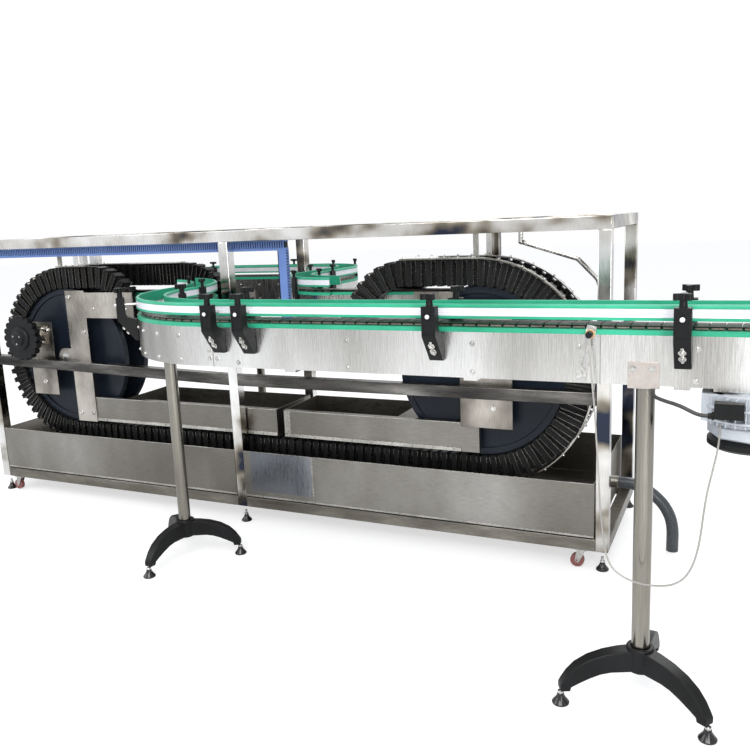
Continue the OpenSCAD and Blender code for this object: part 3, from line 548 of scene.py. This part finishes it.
def loop_path(down, up):
    # A gripper chain's loop in (x, z), with the top run let down between the two x values
    low = up - down - 2 * DIP_X
    sink = [(DIP, -1 / DIP_R), (DIP, 1 / DIP_R)]
    climb = [(DIP, 1 / DIP_R), (DIP, -1 / DIP_R)]
    end = (arc(LOOP_R, 180), -1 / LOOP_R)
    return [(LEFT_WHEEL_X, LOOP_Z + LOOP_R, 0), (down - LEFT_WHEEL_X, 0), *sink, (low, 0), *climb,
            (RIGHT_WHEEL_X - up, 0), end, (RIGHT_WHEEL_X - LEFT_WHEEL_X, 0), end]


def sweep(bm, path, outline):
    # An outline of (left of the heading, height) pairs carried along a lane
    x, y, heading = path[0]
    side = Vector((-math.sin(heading), math.cos(heading), 0))
    ring = [bm.verts.new(Vector((x, y, h)) + side * off) for off, h in outline]
    bm.faces.new(ring)
    lines = [bm.edges.get((a, b)) for a, b in zip(ring, ring[1:] + ring[:1])]
    pose = path[0]
    for length, bend in path[1:]:
        if bend == 0:
            made = bmesh.ops.extrude_edge_only(bm, edges=lines)["geom"]
            ahead = walk(pose, length, 0)
            bmesh.ops.translate(bm, verts=verts_of(made), vec=(ahead[0] - pose[0], ahead[1] - pose[1], 0))
            lines = [e for e in edges_of(made) if all(v in set(verts_of(made)) for v in e.verts)]
        else:
            centre = (pose[0] - math.sin(pose[2]) / bend, pose[1] + math.cos(pose[2]) / bend, 0)
            steps = max(4, int(abs(length * bend) / math.radians(3)))
            made = bmesh.ops.spin(bm, geom=lines, cent=centre, axis=(0, 0, 1), dvec=(0, 0, 0),
                                  angle=length * bend, steps=steps, use_duplicate=False)["geom_last"]
            lines = edges_of(made)
        pose = walk(pose, length, bend)
    bmesh.ops.contextual_create(bm, geom=lines)


def on_lane(path, distance, height=0.0):
    x, y, heading = pose_on(path, distance)
    return Matrix.Translation((x, y, height)) @ Matrix.Rotation(heading, 4, "Z")


# ---------------------------------------------------------------- gripper chains

def gripper_chain(name, node, path, y, flip):
    # Each link: a ribbed rubber block with a thin light steel strip at each side, painted highlight lines
    # along its edges, on a carrier
    count = math.floor(path_length(path) / CHAIN_PITCH)
    pitch = path_length(path) / count
    bm = bmesh.new()
    plates = bmesh.new()
    rib = [(-11.5, 2), (-8, 0), (-3, 0), (-1.5, 3.5), (1.5, 3.5), (3, 0), (8, 0), (11.5, 2), (12.5, 17),
           (16, 19), (16, 60), (10, 75), (5, 62),
           (-5, 62), (-10, 75), (-16, 60), (-16, 19), (-12.5, 17)]
    if flip:
        rib = [(a, BLOCK_D - b) for a, b in rib]
    for i in range(count):
        a = pose_on(path, i * pitch)
        b = pose_on(path, (i + 1) * pitch)
        middle = Vector(((a[0] + b[0]) / 2, y, (a[1] + b[1]) / 2))
        along = Vector((b[0] - a[0], 0, b[1] - a[1])).normalized()
        out = Vector((-along.z, 0, along.x))
        place = Matrix.Translation(middle) @ Matrix((along, Vector((0, 1, 0)),
                                            out)).transposed().to_4x4() @ Matrix.Translation((0, 0,
                                            -BLOCK_L / 2))
        prism(bm, rib, BLOCK_L, place)
        web = block(bm, -22, 22, 17, 44, 5, 101, place)
        if abs(b[2] - a[2]) > 0.05:
            inverse = place.inverted()
            for vert in web:
                spot = inverse @ vert.co
                spot.x *= 1 + (spot.z - 53) * 0.0024
                vert.co = place @ spot
        block(bm, -23.5, 23.5, 44.5, 57, 46, 64, place)
        # Thin light steel strips beside each rib: painted highlight lines along the block's edges
        for edge in (-13.6, 12.6):
            block(plates, edge, edge + 1, 1.0, 16.5, 6, 103, place)
    finish(plates, name + "_side_plates", TRACK_STEEL, smooth=False)
    finish(bm, name, RUBBER, bevel=1.2, segments=1, smooth=False, replaces=(node,))


gripper_chain("front_gripper_blocks", "front_gripper_chain", loop_path(-2574, -863), 80, False)
gripper_chain("rear_gripper_blocks", "rear_gripper_chain", loop_path(-2107, -756), 225, True)


# ---------------------------------------------------------------- slat chains and rails

def slat_chain(name, node, path, half):
    bm = bmesh.new()
    pins = bmesh.new()
    count = int(path_length(path) / SLAT_PITCH)
    pitch = path_length(path) / count
    slat = [(-18, -half), (17, -half), (20.5, -half * 0.35), (20.5, half * 0.35), (17, half), (-18, half),
            (-14.5, half * 0.35), (-14.5, -half * 0.35)]
    for i in range(count):
        place = on_lane(path, (i + 0.5) * pitch, SLAT_Z)
        prism(bm, slat, 3.2, place @ Matrix.Translation((0, 0, 6.8)))
        block(bm, -16, 18, -20, 20, 0, 6.8, place)
        block(pins, -16.5, 15.5, half - 3, half + 0.1, 2.2, 6.6, place)
        block(pins, -16.5, 15.5, -half - 0.1, 3 - half, 2.2, 6.6, place)
    finish(pins, name + "_edges", EDGE_STEEL, smooth=False)
    finish(bm, name, SLAT_STEEL, bevel=0.5, segments=1, smooth=False, replaces=(node,))


slat_chain("infeed_slats", "infeed_chain", INFEED, SLAT_HALF)
slat_chain("outfeed_slats", "outfeed_chain", OUTFEED, SLAT_HALF)


def guide_rails(name, node, path):
    green = bmesh.new()
    white = bmesh.new()
    near = 45.3
    z = RAIL_Z
    body = [(near, z), (near + 12, z), (near + 12, z + 8), (near + 6, z + 8), (near + 6, z + 31),
            (near + 12, z + 31), (near + 12, z + 39), (near + 10, z + 42), (near, z + 42)]
    core = [(near + 6.3, z + 8.3), (near + 11.5, z + 8.3), (near + 11.5, z + 15), (near + 10.6, z + 16),
            (near + 11.5, z + 17),
            (near + 11.5, z + 22), (near + 10.6, z + 23), (near + 11.5, z + 24), (near + 11.5, z + 30.7),
            (near + 6.3, z + 30.7)]
    for side in (1, -1):
        sweep(green, path, [(side * off, h) for off, h in body])
        sweep(white, path, [(side * off, h) for off, h in core])
    finish(green, name + "_green", GREEN, bevel=1.0, segments=2, replaces=(node,))
    finish(white, name + "_white", WHITE)


guide_rails("infeed_rail", "infeed_rails", INFEED_RAILS)
guide_rails("outfeed_rail", "outfeed_rails", OUTFEED)
softened("transfer_chains", SLAT_STEEL, bevel=1.0)


# ---------------------------------------------------------------- rail clamps

# Each clamp's distance along its lane, and 1 on the left of the heading or -1 on the right
LEAN_CLAMPS = [(328, 1), (328, -1), (997, 1), (997, -1), (1642, 1), (1760, 1), (1760, -1), (2290, 1),
               (2290, -1)]
INNER_CLAMPS = [(2700, -1), (2900, 1), (3120, -1)]
OUT_CLAMPS = [(190, 1), (190, -1), (600, 1), (600, -1), (1060, 1), (1060, -1), (1500, 1), (1500, -1),
              (2000, 1), (2000, -1)]
# Turns a prism's outline to (outward, up) and its depth along the lane
ACROSS = Matrix(((0, 0, 1, 0), (1, 0, 0, 0), (0, 1, 0, 0), (0, 0, 0, 1)))


def beside(path, distance, side):
    # Along the lane, out from its side plate, and up
    return on_lane(path, distance) @ Matrix.Translation((0, side * LANE_HALF,
                                            0)) @ Matrix.Rotation(0 if side > 0 else math.pi, 4, "Z")


def wing_knob(bm, place, base):
    lobes = []
    for i in range(48):
        angle = math.tau * i / 48
        reach = 11 + 15 * max(0, math.cos(3 * angle)) ** 0.7
        lobes.append((reach * math.cos(angle), reach * math.sin(angle)))
    rod(bm, place @ Vector((0, 0, base)), place @ Vector((0, 0, base + 20)), 10.5, 20, 9)
    prism(bm, lobes, 17, place @ Matrix.Translation((0, 0, base + 19)) @ Matrix.Rotation(math.radians(20),
                                            4, "Z"))


def lean_clamp(black, shiny, white, place):
    profile = [(1.2, 995), (14, 995), (70, 1070), (72, 1076), (72, 1158), (42, 1158), (42, 1092),
               (36, 1084), (1.2, 1073)]
    prism(black, profile, 42, place @ Matrix.Translation((-21, 0, 0)) @ ACROSS)
    for low, high in ((1080, 1083.5), (1117, 1120.5)):
        block(black, -17, 17, 71.5, 73.5, low, high, place)
    for low, high in ((-17, -14), (14, 17)):
        block(black, low, high, 71.5, 73.5, 1080, 1120, place)
    rod(shiny, place @ Vector((0, 0.8, 1130)), place @ Vector((0, 79, 1130)), 5, 16)
    turned(white, [(0, 0), (6.5, 0), (6.5, 2), (4.5, 4), (0, 4)], place @ Vector((0, 77, 1130)),
           place.to_3x3() @ Vector((0, 1, 0)), 16)
    wing_knob(black, place @ Matrix.Translation((0, 57, 0)), 1157.5)
    slope = math.atan2(75, 56)
    tilt = place @ Matrix.Translation((0, 14, 995)) @ Matrix.Rotation(slope, 4, "X")
    block(shiny, -4, 4, 22, 76, -0.2, 0.8, tilt @ Matrix.Diagonal((1, 1, -1, 1)))
    out = (tilt.to_3x3() @ Vector((0, 0, -1))).normalized()
    for along in (38, 60):
        bolt(shiny, tilt @ Vector((0, along, 0)), out, 7.0, 7)


def upright_clamp(black, shiny, place):
    face = [(-21, 1096), (-21, 1154), (21, 1154), (21, 1096), (18, 1060), (17, 1006), (13, 1000),
            (-13, 1000), (-17, 1006), (-18, 1060)]
    prism(black, face, 12, place @ Matrix.Translation((0, 14, 0)) @ Matrix.Rotation(math.pi / 2, 4, "X"))
    rod(black, place @ Vector((0, 7.5, 1154)), place @ Vector((0, 7.5, 1170)), 7.5, 16, 6.2)
    prism(black, [(8 * math.cos(a * math.tau / 12), 8 * math.sin(a * math.tau / 12)) for a in range(12)],
          18,
          place @ Matrix.Translation((0, 7.5, 1170)))
    block(black, -22, 22, 3, 12, 1176, 1188, place)
    block(shiny, -3.5, 3.5, 13.5, 14.6, 1018, 1062, place)
    for height in (1026, 1050):
        bolt(shiny, place @ Vector((0, 14.2, height)), place.to_3x3() @ Vector((0, 1, 0)), 6.5, 6)


def rail_clamps():
    black = bmesh.new()
    shiny = bmesh.new()
    white = bmesh.new()
    for distance, side in LEAN_CLAMPS:
        lean_clamp(black, shiny, white, beside(INFEED, distance, side))
    for path, spots in ((INFEED, INNER_CLAMPS), (OUTFEED, OUT_CLAMPS)):
        for distance, side in spots:
            upright_clamp(black, shiny, beside(path, distance, side))
    finish(black, "rail_clamp_bodies", BLACK, bevel=1.2, segments=2,
           replaces=("rail_clamps",))
    finish(shiny, "rail_clamp_screws", BRIGHT_STEEL, bevel=0.5, segments=1)
    finish(white, "rail_rod_caps", WHITE, bevel=0.4, segments=1)


rail_clamps()
hand_gear()


# ---------------------------------------------------------------- bolts and seams on the lanes

def lane_bolts():
    bm = bmesh.new()
    seams = bmesh.new()

    def pair(path, distance, side, heights=(1045, 962)):
        place = on_lane(path, distance) @ Matrix.Translation((0, side * LANE_HALF, 0))
        out = place.to_3x3() @ Vector((0, side, 0))
        for height in heights:
            spot = place @ Vector((0, 0, height))
            rod(bm, spot - out, spot + out * 1.2, 8.5, 16)
            rod(bm, spot + out, spot + out * 5, 5.2, 12, 4.0)

    def seam(path, distance, side):
        place = on_lane(path, distance) @ Matrix.Translation((0, side * LANE_HALF, 0))
        block(seams, -0.6, 0.6, -0.6, 0.5, PLATE_LOW, PLATE_HIGH, place)

    for x in (-1055, -652, -252, 49, 345, 560):
        for side in (1, -1):
            pair(INFEED, LANE_START - x, side)
    for side in (1, -1):
        seam(INFEED, LANE_START - 104, side)
        seam(INFEED, LANE_START - SEAM_X, side)
        for near in (-16, 14):
            pair(INFEED, LANE_START - SEAM_X + near, side, (1054, 1028, 1000, 972))
        for step in range(14):
            pair(INFEED, 1930 + step * 112, side)
        for step in range(15):
            pair(OUTFEED, 60 + step * 135, side)
    finish(bm, "lane_bolts", BRIGHT_STEEL, bevel=0.5, segments=1)
    finish(seams, "lane_seams", SLAT_STEEL)


lane_bolts()


# ---------------------------------------------------------------- gear motor under the lane

def lane_motor():
    bm = bmesh.new()
    middle = Vector((MOTOR_X, LANE_Y, 0))
    turned(bm, [(0, 936.6), (58, 936.6), (58, 931), (98, 931), (98, 852), (0, 852)], middle, (0, 0, 1), 32)
    for i in range(30):
        place = Matrix.Translation(middle) @ Matrix.Rotation(math.tau * i / 30, 4, "Z")
        block(bm, 96, 117, -1.8, 1.8, 856, 929, place)
    for h in (898, 866):
        turned(bm, [(97, h), (119, h), (119, h + 6), (97, h + 6)], middle, (0, 0, 1), 32)
    outline = [(-118, -46), (-96, -60), (-66, -60), (-66, 60), (-96, 60), (-118, 46)]
    prism(bm, outline, 72, Matrix.Translation(middle + Vector((0, 0, 859))))
    turned(bm, [(0, 850), (100, 850), (104, 846), (104, 822), (98, 817), (0, 817)], middle, (0, 0, 1), 8)
    finish(bm, "lane_motor_body", MOTOR_GREY, bevel=1.0, segments=2,
           replaces=("lane_motor",))
    bm = bmesh.new()
    turned(bm, [(0, 816.5), (93, 816.5), (103, 808), (103, 795), (94, 787), (60, 787), (60, 790), (0, 790)],
           middle, (0, 0, 1), 48)
    block(bm, 400, 458, -941, -928, 888, 924)
    turned(bm, [(0, 0), (11, 0), (11, 5), (8, 6), (8, 13), (0, 13)], Vector((391, -938, 891)), (-1, 0, 0),
           16)
    for i in range(14):
        angle = math.tau * i / 14
        block(bm, 20, 56, -1, 1, 786.5, 791, Matrix.Translation(middle) @ Matrix.Rotation(angle, 4, "Z"))
    finish(bm, "motor_cover_parts", BLACK, bevel=1.0, segments=2)


lane_motor()
dress("motor_covers", BLACK)
dress("chain_drive", MOTOR_GREY)


# ---------------------------------------------------------------- wiring duct

def wiring_duct():
    blue = bmesh.new()
    dark = bmesh.new()
    low = 1286
    high = 1331.7
    finger = 7.5
    step = 12.5
    block(blue, -3260, -1404, 50, 78, low, low + 12)
    block(blue, -3260, -1404, 50, 78, high - 6, high)
    block(dark, -3259, -1406, 53, 77, low + 11, high - 5)
    x = -3256
    while x < -1408:
        block(blue, x, x + finger, 50, 52.5, low + 11, high - 5)
        x += step
    block(blue, -1446, -1404, 50, 54, 923, low)
    block(dark, -1445, -1408, 54, 77, 924, low)
    block(blue, -1446, -1442, 50, 78, 923, low)
    block(blue, -1446, -1404, 74, 78, 923, low)
    z = 926
    while z < 1282:
        block(blue, -1407, -1404, 54, 78, z, z + finger)
        z += step
    finish(blue, "duct_walls", DUCT_BLUE, smooth=False, replaces=("wiring_duct",))
    finish(dark, "duct_inside", BLACK, smooth=False)


wiring_duct()


# ---------------------------------------------------------------- guides, bearings and small steel parts

def small_steel():
    bm = bmesh.new()
    for i in range(15):
        angle = math.radians(-78 + i * 12)
        spot = Vector((RIGHT_WHEEL_X + TRACK_R * math.cos(angle), 0, LOOP_Z + TRACK_R * math.sin(angle)))
        for y in (64, 242):
            out = Vector((math.cos(angle), 0, math.sin(angle)))
            bolt(bm, spot + Vector((0, y, 0)) + out * 2, out, 4, 6)
    for x in (*range(-850, -545, 60), *range(-2770, -2600, 45)):
        for y in (64, 242):
            bolt(bm, (x, y, 1237), (0, 0, 1), 4, 6)
    for dx in (-36, 36):
        for dz in (-36, 36):
            bolt(bm, (GEAR_X + dx, 35.5, GEAR_Z + dz), (0, -1, 0), 6, 8)
    for x, z in ((-468, 627), (-2948, 627), (-2895, 905), (-3010, 905), (-2720, 470), (-2640, 470),
                 (-2720, 1080), (-2640, 900)):
        bolt(bm, (x, 49.9, z), (0, -1, 0), 8, 12)
    for x in (-2560, -2350, -770, -640):
        bolt(bm, (x, 49.9, 1020), (0, -1, 0), 6, 8)
    for x in (188, 237):
        bolt(bm, (x, -870.4, 990), (0, -1, 0), 6, 6, 12)
    finish(bm, "steel_screws", BRIGHT_STEEL, bevel=0.5, segments=1)


small_steel()
dress("rear_guide_track", BRIGHT_STEEL)
dress("gear_bearing", TRACK_STEEL)
softened("top_cross_bars", FRAME_STEEL, bevel=2.0)
softened("bearing_stands", FRAME_STEEL, bevel=2.0)
softened("transducer_boxes", TANK_STEEL, bevel=3.0)
softened("lane_stays", FRAME_STEEL, bevel=1.0)


def sensor_on_strip():
    bm = bmesh.new()
    tilt = Matrix.Translation((53, -867.3, 955)) @ Matrix.Rotation(math.radians(11.4), 4, "Y")
    for low, high in ((0, 40), (135, 150)):
        block(bm, -13, 13, -3, 0, low, high, tilt)
    for low, high in ((-13, -3), (3, 13)):
        block(bm, low, high, -3, 0, 40, 135, tilt)
    for up in (12, 29):
        bolt(bm, tilt @ Vector((0, -3, up)), (0, -1, 0), 5.5, 5)
    finish(bm, "sensor_strip_plate", BRIGHT_STEEL, bevel=0.4, segments=1,
           replaces=("sensor_strip",))
    bm = bmesh.new()
    turned(bm, [(9.2, 0), (12.8, 0), (12.8, 3), (11.6, 5), (9.2, 5)], (78, -870.4, 1080), (0, -1, 0), 32)
    finish(bm, "sensor_ring", BRASS)


dress("lane_sensor", BLACK)
sensor_on_strip()


def tank_and_box_sheets():
    sheet = bmesh.new()
    dark = bmesh.new()
    # Rim and joint strips in a lighter steel than the tank, painted highlights along the edges; the box
    # bolts share this steel
    light = bmesh.new()
    block(sheet, -1640, -1312, -1.2, 0.4, 168, 357)
    block(light, -1312, -1305, -2.0, 0.4, 163, 360)
    for x0, x1 in ((-3250, -1730), (-1676, -58)):
        block(dark, x0, x1, -0.8, 0.4, 132.5, 138)
        block(light, x0, x1, -1.5, 2, 357.5, 360.2)
        block(light, x0, x1, -1.5, 0.4, 138, 146)
    for x0, x1 in ((-2612, -1514), (-1472, -612)):
        block(light, x0, x1, 52.5, 55.8, 430.2, 446)
        block(light, x0, x1, 54.5, 55.8, 552, 556)
        x = x0 + 60
        while x < x1 - 20:
            bolt(light, (x, 52.5, 438), (0, -1, 0), 3.5, 4)
            x += 96
    block(light, -1472, -1440, 54.5, 55.8, 446, 552)
    finish(sheet, "tank_joint_sheet", SEAM_STEEL, bevel=0.4, segments=1)
    finish(dark, "tank_gap_line", BLACK, smooth=False)
    finish(light, "tank_and_box_edges", EDGE_HIGHLIGHT_STEEL, bevel=0.5, segments=1)


tank_and_box_sheets()
dress("rinse_pipe", BRIGHT_STEEL)
dress("drive_sprocket", SLAT_STEEL)
dress("caster_plates", BRIGHT_STEEL)


# ---------------------------------------------------------------- hose and cables

def smooth_run(points, parts=4):
    run = []
    for i in range(len(points) - 1):
        before = Vector(points[max(i - 1, 0)])
        a = Vector(points[i])
        b = Vector(points[i + 1])
        after = Vector(points[min(i + 2, len(points) - 1)])
        for k in range(parts):
            t = k / parts
            run.append(0.5 * (2 * a + (b - before) * t + (2 * before - 5 * a + 4 * b - after) * t ** 2
                              + (3 * a - before - 3 * b + after) * t ** 3))
    run.append(Vector(points[-1]))
    return [(p - MIDDLE) / 1000 for p in run]


def free_line(name, node, points, radius, material, sides=3):
    run = smooth_run(points)
    data = bpy.data.curves.new(name, "CURVE")
    data.dimensions = "3D"
    data.bevel_depth = radius / 1000
    data.bevel_resolution = sides
    data.use_fill_caps = True
    line = data.splines.new("POLY")
    line.points.add(len(run) - 1)
    for point, place in zip(line.points, run):
        point.co = (*place, 1)
    data.materials.append(material)
    piece = bpy.data.objects.new(name, data)
    scene.collection.objects.link(piece)
    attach(piece, MACHINE)
    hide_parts(node)


free_line("drain_hose_run", "drain_hose", [(-5, 300, 278), (15, 300, 278), (50, 300, 275), (84, 300, 265),
                                           (115, 300, 250), (143, 300, 229),
          (168, 300, 204), (187, 300, 176), (201, 300, 145), (209, 300, 112), (212, 300, 78),
          (212, 300, 40), (212, 300, 3)],
          24, HOSE, 6)
free_line("motor_cable_run", "motor_cable", [(376.7, -938, 891), (366, -938, 891), (354, -937, 893), (342,
                                            -935, 897), (330, -932, 902),
          (318, -929, 907), (305, -925, 911), (292, -920, 914), (279, -914, 916), (267, -907, 918),
          (256, -899, 920), (248, -891, 922),
          (243, -882, 925), (240, -874, 930), (240, -871, 936.7)], 5, CABLE)
free_line("sensor_cable_run", "sensor_cable",
          [(78, -895, 1071), (78, -895, 1056), (80, -896, 1040), (84, -897, 1000), (89, -898, 950),
           (95, -899, 890),
          (100, -900, 820), (105, -900, 750), (109, -900, 680), (113, -900, 611), (118, -900, 560),
          (124, -900, 510), (133, -900, 465),
          (150, -900, 434), (178, -900, 414), (210, -900, 404), (245, -900, 401), (280, -900, 405),
          (308, -900, 415),
          (332, -900, 436), (350, -900, 470), (362, -900, 515), (369, -900, 565), (374, -900, 620),
          (381, -900, 680),
          (390, -900, 730), (399, -900, 780), (404, -900, 820), (405, -898, 848), (404.9, -896.7, 866)],
          2.5, CABLE_GREY)


# ---------------------------------------------------------------- floor and light

def set_the_stage():
    bm = bmesh.new()
    bmesh.ops.create_grid(bm, x_segments=1, y_segments=1, size=30)
    mesh = bpy.data.meshes.new("floor")
    bm.to_mesh(mesh)
    bm.free()
    floor = bpy.data.objects.new("floor", mesh)
    scene.collection.objects.link(floor)
    material, tree, shader = new_material("floor_white")
    shader.inputs["Base Color"].default_value = (0.85, 0.85, 0.85, 1)
    shader.inputs["Roughness"].default_value = 0.9
    glow = tree.nodes.new("ShaderNodeEmission")
    glow.inputs["Strength"].default_value = 0.62
    matt = tree.nodes.new("ShaderNodeBsdfDiffuse")
    matt.inputs["Color"].default_value = (0.5, 0.5, 0.5, 1)
    both = tree.nodes.new("ShaderNodeAddShader")
    tree.links.new(glow.outputs["Emission"], both.inputs[0])
    tree.links.new(matt.outputs["BSDF"], both.inputs[1])
    rays = tree.nodes.new("ShaderNodeLightPath")
    pick = tree.nodes.new("ShaderNodeMixShader")
    tree.links.new(rays.outputs["Is Camera Ray"], pick.inputs["Fac"])
    tree.links.new(shader.outputs["BSDF"], pick.inputs[1])
    tree.links.new(both.outputs["Shader"], pick.inputs[2])
    tree.links.new(pick.outputs["Shader"], tree.nodes["Material Output"].inputs["Surface"])
    mesh.materials.append(material)

    world = bpy.data.worlds.new("studio")
    scene.world = world
    world.use_nodes = True
    tree = world.node_tree
    light = tree.nodes["Background"]
    light.inputs["Color"].default_value = (0.93, 0.96, 1.0, 1)
    light.inputs["Strength"].default_value = 0.75
    seen = tree.nodes.new("ShaderNodeBackground")
    seen.inputs["Color"].default_value = (1, 1, 1, 1)
    seen.inputs["Strength"].default_value = 1.0
    rays = tree.nodes.new("ShaderNodeLightPath")
    either = tree.nodes.new("ShaderNodeMath")
    either.operation = "MAXIMUM"
    tree.links.new(rays.outputs["Is Camera Ray"], either.inputs[0])
    tree.links.new(rays.outputs["Is Transmission Ray"], either.inputs[1])
    # White wherever it is seen, soft daylight for what it lights
    mix = tree.nodes.new("ShaderNodeMixShader")
    mirrored = tree.nodes.new("ShaderNodeMath")
    mirrored.operation = "MAXIMUM"
    tree.links.new(either.outputs["Value"], mirrored.inputs[0])
    tree.links.new(rays.outputs["Is Glossy Ray"], mirrored.inputs[1])
    tree.links.new(mirrored.outputs["Value"], mix.inputs["Fac"])
    tree.links.new(light.outputs["Background"], mix.inputs[1])
    tree.links.new(seen.outputs["Background"], mix.inputs[2])
    tree.links.new(mix.outputs["Shader"], tree.nodes["World Output"].inputs["Surface"])

    def lamp(name, place, aim, size, power, colour):
        data = bpy.data.lights.new(name, "AREA")
        data.shape = "RECTANGLE"
        data.size = size[0]
        data.size_y = size[1]
        data.energy = power
        data.color = colour
        item = bpy.data.objects.new(name, data)
        item.location = place
        item.rotation_euler = (Vector(aim) - Vector(place)).to_track_quat("-Z", "Y").to_euler()
        scene.collection.objects.link(item)

    lamp("key", (1.5, -5.0, 5.0), (0, 0, 0.7), (4, 3), 260, (1.0, 0.98, 0.95))
    lamp("fill", (-5.0, -4.0, 3.5), (0, 0, 0.7), (3, 3), 90, (0.95, 0.98, 1.0))
    lamp("strip", (3.2, -4.2, 1.6), (0.8, -0.6, 0.8), (0.5, 2.6), 60, (1.0, 0.99, 0.97))
    lamp("back", (2.0, 5.0, 5.0), (0, 0, 0.7), (4, 3), 160, (1.0, 1.0, 1.0))


set_the_stage()
scene.view_settings.view_transform = "Standard"
